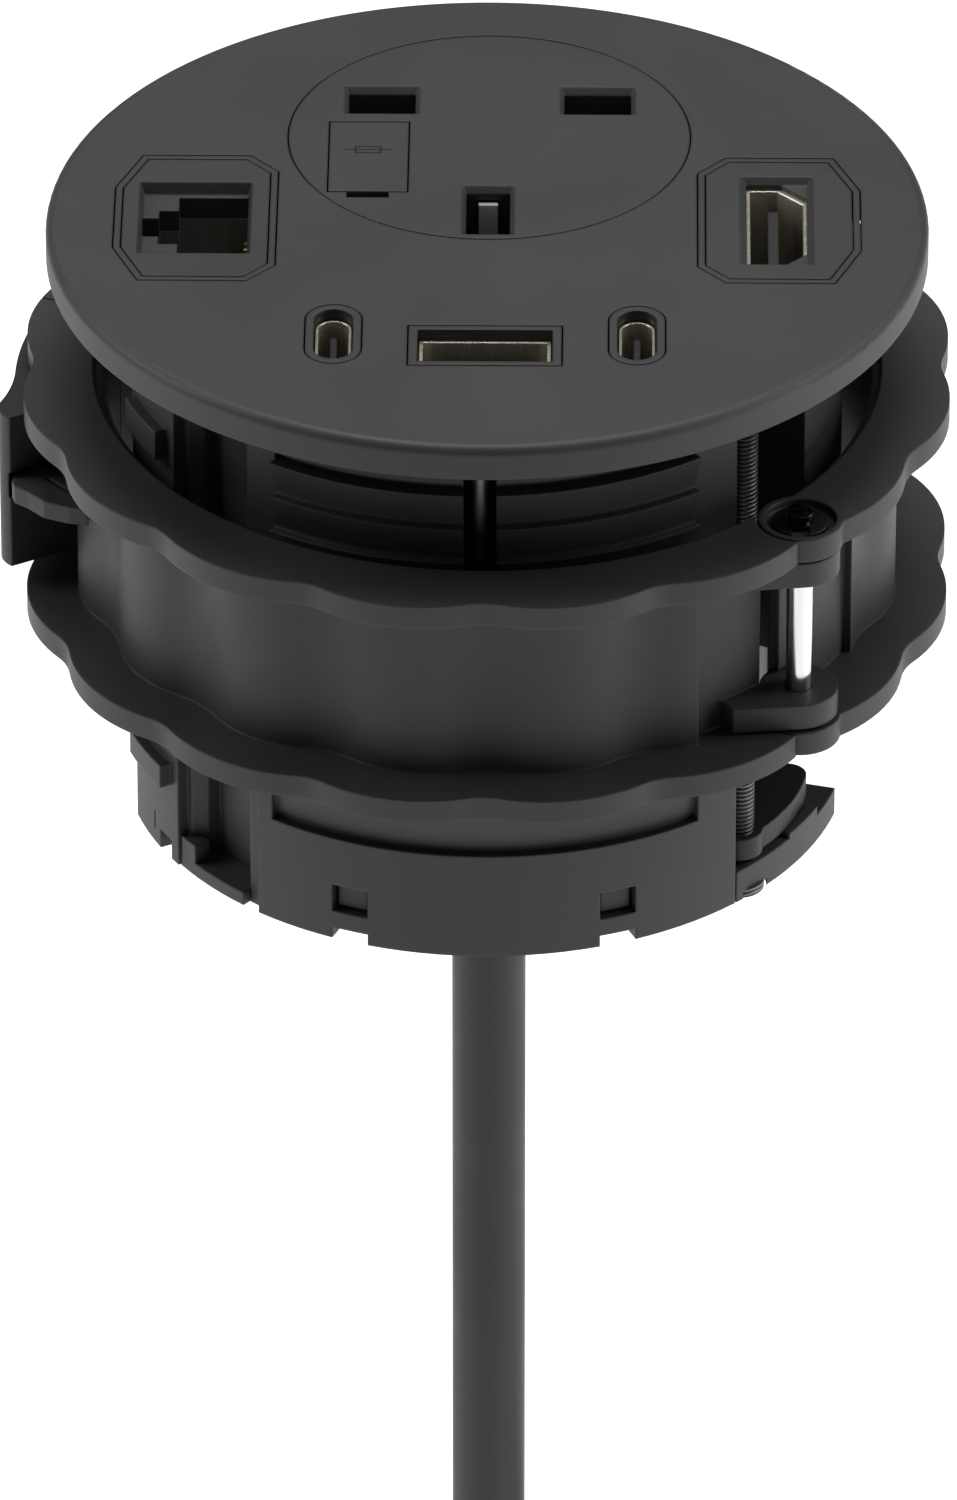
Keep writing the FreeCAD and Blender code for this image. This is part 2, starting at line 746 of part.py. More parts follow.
def hdmi_outline(gap, low, high):
    x1, x2 = HDMI_X
    half = HDMI_HALF + gap
    cut = HDMI_CHAMFER
    points = [(x1 - gap, -half), (x2 - cut + gap, -half), (x2 + gap, -half + cut),
              (x2 + gap, half - cut), (x2 - cut + gap, half), (x1 - gap, half)]
    return prism(points, low, high)


def hdmi_insert():
    plate = frame_outline(1, FRAME_RIM, 0, TOP)
    x1, x2 = HDMI_X
    middle = ((x1 + x2) / 2, 0)
    slot = (x2 - x1, 2 * HDMI_HALF)
    mouth = (slot[0] + HDMI_MOUTH, slot[1] + HDMI_MOUTH)
    plate = plate.cut(funnel(mouth, slot, middle, TOP - HDMI_MOUTH_DEEP, TOP + 0.01))
    return plate.cut(hdmi_outline(0, -1, TOP))


def hdmi_shell():
    shell = hdmi_outline(0, -JACK_DEEP, TOP - SHELL_BACK)
    return shell.cut(hdmi_outline(-HDMI_WALL, -JACK_DEEP + HDMI_WALL, TOP))


def hdmi_tongue():
    x1, x2, half = HDMI_TONGUE
    tongue = block(x1, x2, -half, half, -JACK_DEEP + HDMI_WALL, TOP - HDMI_TONGUE_BACK)
    foot = hdmi_outline(-HDMI_WALL, -JACK_DEEP + HDMI_WALL, -JACK_DEEP + HDMI_FOOT)
    return tongue.fuse(foot).removeSplitter()


# Charging cassette


def usb_a_frame():
    plate = centred_block(USB_FRAME, (0, USB_Y), 0, TOP)
    hole = centred_block(USB_OPENING, (0, USB_Y), -1, TOP + 1)
    return plate.cut(hole)


def usb_a_shell():
    at = (0, USB_Y)
    outer = [length - 2 * SEAM for length in USB_OPENING]
    inner = [length - 2 * USB_WALL for length in outer]
    shell = centred_block(outer, at, PORT_FLOOR, TOP - SHELL_BACK)
    return shell.cut(centred_block(inner, at, PORT_FLOOR + USB_WALL, TOP + 1))


def usb_a_tongue():
    wide, thick = USB_TONGUE
    near = USB_Y - USB_OPENING[1] / 2 + SEAM + USB_WALL
    low = PORT_FLOOR + USB_WALL
    foot_wide = USB_OPENING[0] - 2 * (SEAM + USB_WALL)
    foot_long = USB_OPENING[1] - 2 * (SEAM + USB_WALL)
    foot = centred_block((foot_wide, foot_long), (0, USB_Y), low, low + TONGUE_FOOT)
    near += USB_TONGUE_GAP
    tongue = block(-wide / 2, wide / 2, near, near + thick, low, TOP - TONGUE_BACK)
    return foot.fuse(tongue).removeSplitter()


def usb_c_frame(side):
    at = (side * USBC_X, USBC_Y)
    plate = racetrack(USBC_FRAME, 0, TOP, at)
    return plate.cut(racetrack([size + 2 * SEAM for size in USBC_SHELL], -1, TOP + 1, at))


def usb_c_shell(side):
    at = (side * USBC_X, USBC_Y)
    shell = racetrack(USBC_SHELL, PORT_FLOOR, TOP - SHELL_BACK, at)
    inner = [size - 2 * USBC_WALL for size in USBC_SHELL]
    return shell.cut(racetrack(inner, PORT_FLOOR + USBC_WALL, TOP + 1, at))


def usb_c_tongue(side):
    at = (side * USBC_X, USBC_Y)
    low = PORT_FLOOR + USBC_WALL
    inner = [size - 2 * USBC_WALL for size in USBC_SHELL]
    foot = racetrack(inner, low, low + TONGUE_FOOT, at)
    tongue = centred_block(USBC_TONGUE, at, low, TOP - TONGUE_BACK)
    return foot.fuse(tongue).removeSplitter()


def charger_housing():
    near, far = CASSETTE_Y
    half = CASSETTE_HALF
    wall = CASSETTE_WALL
    case = block(-half, half, near, far, DECK_LEVEL, 0)
    case = case.common(cylinder(INSIDE_R, DECK_LEVEL - 1, 1))
    inner_r = INSIDE_R - wall
    inside = block(-half + wall, half - wall, near + wall, far - wall, DECK_LEVEL + wall, 1)
    inside = inside.common(cylinder(inner_r, DECK_LEVEL - 1, 2))
    ledge_low = PORT_FLOOR - BOARD_THICK
    ledges = [block(side * (half - wall) - 1, side * (half - wall) + 1, near + wall, far - wall,
                    DECK_LEVEL + wall, ledge_low) for side in (-1, 1)]
    case = case.cut(inside)
    ledges = [ledge.common(cylinder(inner_r, DECK_LEVEL, 0)) for ledge in ledges]
    case = case.multiFuse(ledges)
    tabs = [sector(FAR, TAB_INNER_R - SEAM, -TAB_BLOCK - SCREW_HEAD - SEAM, 1,
                   angle - TAB_HALF_ANGLE - 0.3, angle + TAB_HALF_ANGLE + 0.3)
            for radius, angle in SCREW_PLACES]
    walls = pocket_walls(FAR, SEAM, DECK_LEVEL - 1, 1)
    return case.cut(tabs + walls).removeSplitter()


def port_board():
    near, far = CASSETTE_Y
    gap = CASSETTE_WALL + SEAM
    half = CASSETTE_HALF - gap
    low = PORT_FLOOR - BOARD_THICK
    board = block(-half, half, near + gap, far - gap, low, PORT_FLOOR)
    return board.common(cylinder(INSIDE_R - gap, low - 1, 1))


# Body


def bezel_screw_places():
    return [polar(radius, angle) for radius, angle in SCREW_PLACES]


def ridge(level, start, end):
    inner = BODY_R - RIDGE_ROOT
    profile = [(inner, 0), (CREST_R, 0), (BODY_R, -RAMP), (inner, -RAMP)]
    return helical_band(profile, level, start, end)


def thread_ridges():
    bands = []
    for turn in (0, 180):
        start, end = (angle + turn for angle in THREAD_ARC)
        for index in range(LEDGES):
            level = FIRST_LEDGE - index * PITCH - (PITCH if turn else 0)
            bands.append(ridge(level, start, end))
    return bands


def pocket_walls(outer, gap, low, high):
    """The walls of all four pockets inside the body, grown by a gap where other pieces clear them."""
    wall = POCKET_WALL + gap
    edge = POCKET_EDGE + math.degrees(gap / WING_POCKET_R)
    shapes = []
    for turn in (0, 180):
        for radius, (start, end) in ((WING_POCKET_R, WING_POCKET), (SIDE_POCKET_R, SIDE_POCKET)):
            shape = sector(outer, radius - wall, low, high, start - edge, end + edge)
            shapes.append(turned(shape, turn))
    return shapes


def top_groove(turn):
    """A dark groove cut in over the uppermost ledge."""
    deep, high = TOP_GROOVE
    inner = BODY_R - deep
    start, end = (angle + turn for angle in THREAD_ARC)
    profile = [(inner, 0), (CREST_R + 1, 0), (CREST_R + 1, high), (inner, high)]
    level = FIRST_LEDGE - (PITCH if turn else 0)
    return helical_band(profile, level, start, end)


def body_additions():
    """Blocks and bands on one side of the body; the other side has the same, half a turn on."""
    start, end = THREAD_ARC
    skirt_start, skirt_end = SKIRT_ARC
    low = FLOOR_LEVEL
    inner = MID_WALL_R
    shapes = [
        sector(SKIRT_R, BODY_INNER_R, BODY_LOW, SKIRT_TOP, skirt_start, skirt_end),
        cone_sector(BODY_R, CREST_R, inner, SKIRT_TOP, FOOT_CREST, start, end),
    ]
    for first, last in ((skirt_start, start), (end, skirt_end)):
        shapes.append(sector(SKIRT_R, inner, SKIRT_TOP, FOOT_CREST, first, last))
        shapes.append(cone_sector(SKIRT_R, BODY_R, inner, FOOT_CREST, SKIRT_SLOPE_TOP, first, last))
    shapes.append(sector(inner, WING_POCKET_R - POCKET_WALL, low, WING_WINDOW_TOP + POCKET_WALL,
                         WING_POCKET[1], WING_WINDOW_END + POCKET_EDGE))
    pad_start, pad_end = PAD_ARC
    shapes.append(sector(PAD_R, inner, BODY_LOW, 0, pad_start, pad_end))
    for lug_low, lug_high, lug_start, lug_end in (LOW_LUG, HIGH_LUG):
        shapes.append(sector(LUG_R, inner, lug_low, lug_high, lug_start, lug_end))
    return shapes


def body_cuts():
    low = BODY_LOW - 1
    pocket_start, pocket_end = WING_POCKET
    side_start, side_end = SIDE_POCKET
    step_left, step_right = STEP_FACE_X
    slot_low, slot_high, slot_start, slot_end = THIN_SLOT
    inner = BODY_INNER_R - 1
    shapes = [
        sector(FAR, WING_POCKET_R, low, WING_WINDOW_TOP, pocket_start, WING_WINDOW_END),
        sector(FAR, WING_POCKET_R, WING_WINDOW_TOP - 1, POCKET_TOP, UPPER_POCKET_START, pocket_end),
        sector(FAR, SIDE_POCKET_R, low, SIDE_POCKET_TOP, side_start, side_end),
        block(step_left, step_right, -FAR, STEP_FACE_Y, low, SIDE_POCKET_TOP),
        sector(FAR, inner, low, NOTCH_TOP, NOTCH_ARC[0], NOTCH_ARC[1]),
        sector(FAR, inner, slot_low, slot_high, slot_start, slot_end),
        sector(FAR, COVER_UNDER_R - 1, low, FLOOR_LEVEL, PAD_ARC[1], side_end),
    ]
    for angle in SNAP_ANGLES:
        first, last = angle - SNAP_HALF_ANGLE, angle + SNAP_HALF_ANGLE
        shapes.append(sector(FAR, BODY_INNER_R - 1, SNAP_LOW, SNAP_HIGH, first, last))
        shapes.append(sector(FAR, BODY_INNER_R - 1, low, FLOOR_LEVEL - 0.2, first, last))
    return shapes


def chassis():
    wall = tube(BODY_R, BODY_INNER_R, BODY_LOW, 0)
    deck = cylinder(MID_WALL_R, DECK_LOW, DECK_LEVEL)
    parts = [deck] + thread_ridges() + pocket_walls(MID_WALL_R, 0, FLOOR_LEVEL, 0)
    for angle in (0, 180):
        parts += [turned(shape, angle) for shape in body_additions()]
    for radius, angle in SCREW_PLACES:
        parts.append(sector(MID_WALL_R, TAB_INNER_R, -TAB_BLOCK, 0,
                            angle - TAB_HALF_ANGLE, angle + TAB_HALF_ANGLE))
    rod_x, rod_y = TIE_ROD_AT
    parts.append(block(rod_x - ROD_SEAT_HALF, rod_x + ROD_SEAT_HALF, rod_y - ROD_SEAT_NEAR,
                       rod_y + ROD_SEAT_FAR, ROD_SLOT_END - ROD_SEAT_DEEP, ROD_SLOT_END))
    body = wall.multiFuse(parts)
    cuts = []
    for angle in (0, 180):
        cuts += [turned(shape, angle) for shape in body_cuts()]
        cuts.append(top_groove(angle))
    left, right = ROD_SLOT
    cuts.append(block(left, right, -FAR, -BODY_INNER_R + 3, ROD_SLOT_END, 1))
    cuts.append(cylinder(TIE_ROD_R, ROD_SLOT_END - ROD_HOLE_DEEP, 1, TIE_ROD_AT))
    cuts.append(cylinder(DECK_HOLE_R, DECK_LOW - 1, DECK_LEVEL + 1, DECK_HOLE_AT))
    for name, slot, at in contact_places():
        cuts.append(tail_slot(at, DECK_LOW - 1, DECK_LEVEL + 1))
    for at in bezel_screw_places():
        cuts.append(cylinder(SCREW_R + RUNNING_FIT, -TAB_BLOCK - 1, 1, at))
        cuts.append(cylinder(SCREW_HEAD_R + 0.2, DECK_LEVEL, -TAB_BLOCK, at))
    for side in (1, -1):
        at = (side * ROD_AT[0], side * ROD_AT[1])
        cuts.append(cylinder(ROD_R + RUNNING_FIT, POCKET_TOP - 1, ROD_TOP + 0.3, at))
    return body.cut(cuts).removeSplitter()


def base_cover():
    """The floor, its rims under the wing pockets and the hooks that snap into the skirt."""
    plate = cylinder(COVER_R, BODY_LOW, FLOOR_LEVEL)
    shapes = []
    holes = []
    start = WING_POCKET[0] + FOOT_GAP
    shelf_start, shelf_end = SHELF_ARC
    under = COVER_UNDER_R
    rim_r = BODY_R - 0.2
    foot = sector(SKIRT_R, FOOT_INNER_R, BODY_LOW + FOOT_LIFT, RIM_TOP,
                  PAD_ARC[1] + FOOT_GAP, FOOT_END)
    foot = foot.cut(block(-FAR, 0, STEP_FACE_Y - SEAM, FAR, BODY_LOW, 0))
    for turn in (0, 180):
        bands = (
            sector(SKIRT_R, under, BODY_LOW, FLOOR_LEVEL, start, shelf_end),
            sector(SKIRT_R, rim_r, FLOOR_LEVEL, RIM_TOP, start, shelf_start),
            sector(SKIRT_R, rim_r, RIM_TOP, RIM_TOP + RIM_STEP, RIM_STEP_START, shelf_start),
            sector(SKIRT_R, WING_POCKET_R + SLIDE_GAP, FLOOR_LEVEL, SHELF_TOP, shelf_start, shelf_end),
            sector(SKIRT_R, under, BODY_LOW, FLOOR_LEVEL, PAD_ARC[1] + FOOT_GAP,
                   SIDE_POCKET[1] - FOOT_GAP),
            foot,
        )
        shapes += [turned(band, turn) for band in bands]
        for angle in SNAP_ANGLES:
            half = SNAP_HALF_ANGLE - HOOK_SIDE_GAP
            arm = sector(COVER_R, COVER_R - HOOK_THICK, BODY_LOW, SNAP_HIGH - HOOK_ROOM,
                         angle - half, angle + half)
            tooth = sector(SKIRT_R - TOOTH_BACK, COVER_R - HOOK_THICK / 2, SNAP_LOW + TOOTH_ROOM,
                           SNAP_HIGH - HOOK_ROOM, angle - half, angle + half)
            shapes += [turned(arm, turn), turned(tooth, turn)]
        holes.append(turned(sector(FAR, COVER_NOTCH_R, BODY_LOW - 1, RIM_TOP + 2,
                                   shelf_end, WING_WINDOW_END), turn))
    cover = plate.multiFuse(shapes)
    holes.append(cylinder(GLAND_NECK_R + RUNNING_FIT, BODY_LOW - 1, FLOOR_LEVEL + 1, (CABLE_X, 0)))
    for side in (1, -1):
        at = (side * ROD_AT[0], side * ROD_AT[1])
        holes.append(cylinder(ROD_R + RUNNING_FIT, BODY_LOW - 1, RIM_TOP + 1, at))
        holes.append(cylinder(HEAD_R + 0.2, BODY_LOW - 1, BODY_LOW + HEAD_THICK, at))
    return cover.cut(holes).removeSplitter()


def tie_rod():
    return cylinder(TIE_ROD_R - RUNNING_FIT, ROD_SLOT_END - ROD_HOLE_DEEP, TIE_ROD_TOP, TIE_ROD_AT)


def bezel_screws():
    screws = []
    for at in bezel_screw_places():
        shank = cylinder(SCREW_R - 0.02, -TAB_BLOCK, SCREW_BITE - 0.2, at)
        head = cylinder(SCREW_HEAD_R, -TAB_BLOCK - SCREW_HEAD, -TAB_BLOCK, at)
        slot = centred_block((2 * SCREW_HEAD_R, 0.5), at, -TAB_BLOCK - SCREW_HEAD - 1,
                             -TAB_BLOCK - SCREW_HEAD / 2)
        screws.append(shank.fuse(head).cut(slot))
    return Part.makeCompound(screws)


# Clamp screws, nuts and wings


def clamp_screw(side):
    at = (side * ROD_AT[0], side * ROD_AT[1])
    rod = cylinder(ROD_R, BODY_LOW + HEAD_THICK, ROD_TOP, at)
    head = cylinder(HEAD_R, BODY_LOW, BODY_LOW + HEAD_THICK, at)
    slot = centred_block((2 * HEAD_R, 0.7), at, BODY_LOW - 1, BODY_LOW + HEAD_THICK * 0.5)
    return rod.fuse(head).cut(slot)


def clamp_nut(side):
    at = (side * ROD_AT[0], side * ROD_AT[1])
    return tube(NUT_R, ROD_R + RUNNING_FIT, WING_LOW, WING_HIGH - NUT_BACK, at)


def clamp_wing(side):
    """A flat wing with a curved outer edge, lying in its pocket."""
    x, y = ROD_AT
    outer_r = SKIRT_R - 1.0
    tip = polar(outer_r - 0.7, -22.4)
    top = polar(WING_POCKET_R + 4.3, -19.8)
    inner = polar(WING_POCKET_R + 0.5, -21.0)
    corner = polar(WING_POCKET_R + 0.5, -38.5)
    middle = polar(outer_r + 0.3, -32.0)
    hub_out = polar(WING_EDGE_R, -42.2)
    edges = [
        Part.Arc(Vector(*hub_out, 0), Vector(*middle, 0), Vector(*tip, 0)).toShape(),
        Part.Arc(Vector(*tip, 0), Vector(*polar(outer_r - 1.7, -20.2), 0), Vector(*top, 0)).toShape(),
        Part.makeLine(Vector(*top, 0), Vector(*inner, 0)),
        Part.Arc(Vector(*inner, 0), Vector(*polar(WING_POCKET_R + 0.5, -30), 0),
                 Vector(*corner, 0)).toShape(),
        Part.makeLine(Vector(*corner, 0), Vector(x - HUB_R * 0.7, y + HUB_R * 0.7, 0)),
        Part.makeLine(Vector(x - HUB_R * 0.7, y + HUB_R * 0.7, 0), Vector(*hub_out, 0)),
    ]
    plate = Part.Face(Part.Wire(edges)).extrude(Vector(0, 0, WING_HIGH - WING_LOW))
    plate.translate(Vector(0, 0, WING_LOW))
    wing = plate.fuse(cylinder(HUB_R, WING_LOW, WING_HIGH, ROD_AT))
    wing = wing.cut([
        cylinder(NUT_R + RUNNING_FIT, WING_LOW - 1, WING_HIGH - NUT_BACK + RUNNING_FIT, ROD_AT),
        cylinder(ROD_R + RUNNING_FIT, WING_LOW, WING_HIGH + 1, ROD_AT),
    ]).removeSplitter()
    return wing if side > 0 else turned(wing, 180)


# Collar


def spoke(radius, turn):
    return Vector(radius * math.cos(turn), radius * math.sin(turn), 0)


def towards(start, end, distance):
    return start + (end - start).normalize() * distance


def scallop_outline(inset):
    """Sixteen lobes of tangent arcs: hollow arcs at the valleys, full arcs between them."""
    half = math.radians(180.0 / LOBES)
    valley_centre = VALLEY_R + VALLEY_ARC
    sum_r = LOBE_R + VALLEY_ARC
    lobe_centre = (sum_r**2 - valley_centre**2) / (2 * (sum_r - valley_centre * math.cos(half)))
    lobe_arc = LOBE_R - lobe_centre - inset
    valley_arc = VALLEY_ARC + inset
    step = 2 * half
    edges = []
    for index in range(LOBES):
        valley = index * step
        lobe = valley + half
        here = spoke(valley_centre, valley)
        there = spoke(lobe_centre, lobe)
        before = towards(spoke(lobe_centre, valley - half), here, lobe_arc)
        after = towards(there, here, lobe_arc)
        later = towards(there, spoke(valley_centre, valley + step), lobe_arc)
        bottom = spoke(valley_centre - valley_arc, valley)
        crown = spoke(lobe_centre + lobe_arc, lobe)
        edges.append(Part.Arc(before, bottom, after).toShape())
        edges.append(Part.Arc(after, crown, later).toShape())
    return Part.Wire(edges)


def scalloped_plate(inset, low, high):
    plate = Part.Face(scallop_outline(inset)).extrude(Vector(0, 0, high - low))
    plate.translate(Vector(0, 0, low))
    return plate


def collar_ring():
    ring = scalloped_plate(FLANGE_REACH, COLLAR_LOW, COLLAR_TOP)
    ring = ring.multiFuse([
        scalloped_plate(0, TOP_FLANGE_LOW, COLLAR_TOP),
        scalloped_plate(0, COLLAR_LOW, LOW_FLANGE_TOP),
    ])
    ring = ring.cut(cylinder(COLLAR_BORE, COLLAR_LOW - 1, COLLAR_TOP + 1))
    return ring.cut(cylinder(MOUTH_BORE, COLLAR_TOP - MOUTH_DEEP, COLLAR_TOP + 1))


def collar_ribs(turn):
    start, end = (angle + turn for angle in RIB_ARC)
    outer = COLLAR_BORE + 0.3
    ribs = []
    for index in range(RIBS):
        level = FIRST_LEDGE - (FIRST_RIB + index) * PITCH
        profile = [(outer, RIB_SEAT), (RIB_R, RIB_SEAT), (RIB_R + RIB_LEAN, RIB_SEAT + RIB_THICK),
                   (outer, RIB_SEAT + RIB_THICK)]
        ribs.append(helical_band(profile, level, start, end))
    return ribs


def pie(start, end):
    return sector(FAR, 1.0, COLLAR_LOW - 1, COLLAR_TOP + 1, start, end)


def around_hinge(radius, low, high):
    return cylinder(radius, low, high, HINGE_AT)


def eye_levels():
    """Low side of the front half's upper and lower eye, between the rear half's bosses."""
    return TOP_FLANGE_LOW - EYE_GAP - LUG_THICK, LOW_FLANGE_TOP + EYE_GAP


def thin_wall_cut(start, end):
    """What is taken off the wall between the flanges beside the hinge."""
    return sector(FAR, THIN_WALL_R, LOW_FLANGE_TOP, TOP_FLANGE_LOW, start, end)


def hinge_eye(low):
    """An eye with its arm, whose outer side runs off the eye in a tangent line."""
    high = low + LUG_THICK
    start = Vector(*polar(ARM_START_R, ARM_START), 0)
    centre = Vector(*HINGE_AT, 0)
    away = start - centre
    turn = math.atan2(away.y, away.x) + math.acos(LUG_EYE_R / away.Length)
    touch = centre + spoke(LUG_EYE_R, turn)
    root = polar(COLLAR_BORE, ARM_START)
    tip = polar(THIN_WALL_R, HINGE_ANGLE - HALVES_APART)
    arm = prism([(start.x, start.y), (touch.x, touch.y), HINGE_AT, tip, root], low, high)
    arm = arm.cut(cylinder(COLLAR_BORE, low - 1, high + 1))
    return arm.fuse(around_hinge(LUG_EYE_R, low, high))


def collar_front_half():
    low, high = COLLAR_LOW - 1, COLLAR_TOP + 1
    half = collar_ring().common(pie(COLLAR_SPLIT, 360 + HINGE_ANGLE - HALVES_APART))
    half = half.cut([
        thin_wall_cut(FRONT_WALL_END, REAR_WALL_START),
        around_hinge(BOSS_R + SLIDE_GAP, TOP_FLANGE_LOW - EYE_GAP, high),
        around_hinge(BOSS_R + SLIDE_GAP, low, LOW_FLANGE_TOP + EYE_GAP),
    ])
    eyes = [hinge_eye(level) for level in eye_levels()]
    half = half.multiFuse(eyes + collar_ribs(0) + [catch_tab(0)])
    return half.cut(around_hinge(PIN_R + RUNNING_FIT, low, high)).removeSplitter()


def tab_points(gap):
    """The catch tab seen from above, grown by gap where the lever passes round it."""
    edge = -LOBE_R
    return [(edge + 6.1 + gap, 1.6 + gap), (edge + 1.7 - gap, 0.7 + gap), (edge - 0.4 - gap, -5.7),
            (edge - 0.7 - gap, -7.2), (edge - 0.4 - gap, -8.4 - gap), (edge + 1.0, -9.5 - gap),
            (edge + 2.7, -11.3 - gap), (edge + 5.3, -12.4 - gap), (edge + 7.3, -12.7 - gap)]


def catch_tab(gap):
    low = TAB_LOW - gap
    tab = prism(tab_points(gap), low, TAB_LOW + TAB_THICK + gap)
    edge = -LOBE_R
    groove = prism([(edge + 2.6, -6.8), (edge + 2.9, -6.5), (edge + 6.3, -10.3), (edge + 6.0, -10.6)],
                   TAB_LOW + TAB_THICK - 0.8, TAB_LOW + TAB_THICK + 1)
    if not gap:
        tab = tab.cut(groove).cut(cylinder(COLLAR_BORE + 0.5, low - 1, 0))
    return tab


def collar_rear_half():
    half = collar_ring().common(pie(HINGE_ANGLE + 0.2, COLLAR_SPLIT - 0.3))
    cuts = [thin_wall_cut(HINGE_ANGLE, REAR_WALL_START)]
    for level in eye_levels():
        cuts.append(around_hinge(LUG_EYE_R + SLIDE_GAP, level - EYE_GAP, level + LUG_THICK + EYE_GAP))
    half = half.cut(cuts)
    bosses = [
        around_hinge(BOSS_R, TOP_FLANGE_LOW, COLLAR_TOP),
        around_hinge(BOSS_R, COLLAR_LOW, LOW_FLANGE_TOP),
    ]
    half = half.multiFuse(bosses + collar_ribs(180))
    return half.cut([
        around_hinge(PIN_R + PRESS_ROOM, COLLAR_LOW - 1, COLLAR_TOP + 1),
        around_hinge(BOSS_RECESS_R, COLLAR_TOP - BOSS_RECESS, COLLAR_TOP + 1),
        cylinder(LATCH_PIN_R + PRESS_ROOM, COLLAR_LOW - 1, LATCH_PIN_TOP, LATCH_AT),
    ]).removeSplitter()


def hinge_pin():
    head_top = COLLAR_TOP + PIN_PROUD
    pin = cylinder(PIN_R, COLLAR_LOW, head_top, HINGE_AT)
    waist = COLLAR_TOP - BOSS_RECESS + 0.5
    groove = tube(PIN_R + 1, PIN_R - 0.35, waist, waist + 0.6, HINGE_AT)
    slot = centred_block((2 * PIN_R + 1, 0.5), HINGE_AT, head_top - 0.6, head_top + 1)
    return pin.cut([groove, slot])


def hinge_clip():
    """An open retaining ring in the pin's waist."""
    low = COLLAR_TOP - BOSS_RECESS
    ring = tube(BOSS_RECESS_R - 0.8, PIN_R, low, low + 0.5, HINGE_AT)
    x, y = HINGE_AT
    mouth = block(x - 0.9, x + 0.9, y - 5, y, low - 1, low + 2)
    return ring.cut(mouth)


def latch_pin():
    return cylinder(LATCH_PIN_R, COLLAR_LOW, LATCH_PIN_TOP, LATCH_AT)


def latch_lever():
    low, high = LEVER_LOW, TOP_FLANGE_LOW - SLIDE_GAP
    back = polar(LEVER_INNER_R, LATCH_ANGLE + 1)
    edge = -LOBE_R
    inner_end = (edge + 5.0, -3.3)
    inner_mid = polar(LEVER_INNER_R, 168.0)
    outer_start = polar(LATCH_R + KNUCKLE_R, LATCH_ANGLE + 0.5)
    tip = Vector(edge - 0.9, -6.6, 0)
    thumb = Vector(edge - 2.0, -3.6, 0)
    neck = Vector(edge - 0.6, 2.3, 0)
    edges = [
        Part.Arc(Vector(*back, 0), Vector(*inner_mid, 0), Vector(*inner_end, 0)).toShape(),
        Part.makeLine(Vector(*inner_end, 0), tip),
        Part.Arc(tip, Vector(edge - 1.9, -5.2, 0), thumb).toShape(),
        Part.Arc(thumb, Vector(edge - 1.0, -0.6, 0), neck).toShape(),
        Part.Arc(neck, Vector(edge + 0.6, 11.0, 0), Vector(*outer_start, 0)).toShape(),
        Part.makeLine(Vector(*outer_start, 0), Vector(*back, 0)),
    ]
    lever = Part.Face(Part.Wire(edges)).extrude(Vector(0, 0, high - low))
    lever.translate(Vector(0, 0, low))
    knuckle = cylinder(KNUCKLE_R, low, high, LATCH_AT)
    lever = lever.fuse(knuckle)
    bore = cylinder(LATCH_PIN_R + RUNNING_FIT, low - 1, high + 1, LATCH_AT)
    return lever.cut([catch_tab(TAB_CLEARANCE), bore]).removeSplitter()


# Mains parts below the deck


def terminal_block():
    wide, long, high = TERMINAL
    body = centred_block((wide, long), (0, TERMINAL_Y), TERMINAL_TOP - high, TERMINAL_TOP)
    cuts = []
    for place in (-1, 0, 1):
        x = place * WIRE_SPREAD
        cuts.append(cylinder(TERMINAL_SCREW_R + SEAM, TERMINAL_TOP - high - 1,
                             TERMINAL_TOP - high + 3.0, (x, TERMINAL_Y + TERMINAL_SCREW_Y)))
        cuts.append(cylinder(WIRE_R, TERMINAL_TOP - high - 1,
                             TERMINAL_TOP - high + WIRE_ENTRY, (x, TERMINAL_Y + WIRE_ENTRY_Y)))
    return body.cut(cuts)


def terminal_screws():
    wide, long, high = TERMINAL
    screws = []
    for place in (-1, 0, 1):
        at = (place * WIRE_SPREAD, TERMINAL_Y + TERMINAL_SCREW_Y)
        low = TERMINAL_TOP - high + 1.0
        screw = cylinder(TERMINAL_SCREW_R, low, TERMINAL_TOP - high + 3.0, at)
        slot = centred_block((2 * TERMINAL_SCREW_R, 0.6), at, low - 1, low + 0.8)
        screws.append(screw.cut(slot))
    return Part.makeCompound(screws)


def bent_path(points):
    """Straight runs joined by tangent arcs."""
    edges = []
    last = points[0]
    radii = []
    for before, corner, after in zip(points, points[1:], points[2:]):
        a = (before - corner).normalize()
        b = (after - corner).normalize()
        half_turn = (math.pi - a.getAngle(b)) / 2
        run = min((before - corner).Length, (after - corner).Length)
        radius = 0.45 * run / math.tan(half_turn)
        reach = radius * math.tan(half_turn)
        start = corner + a * reach
        end = corner + b * reach
        bisector = (a + b).normalize()
        middle = corner + bisector * (radius / math.cos(half_turn) - radius)
        edges.append(Part.LineSegment(last, start).toShape())
        edges.append(Part.Arc(start, middle, end).toShape())
        radii.append(radius)
        last = end
    edges.append(Part.LineSegment(last, points[-1]).toShape())
    return Part.Wire(edges), radii


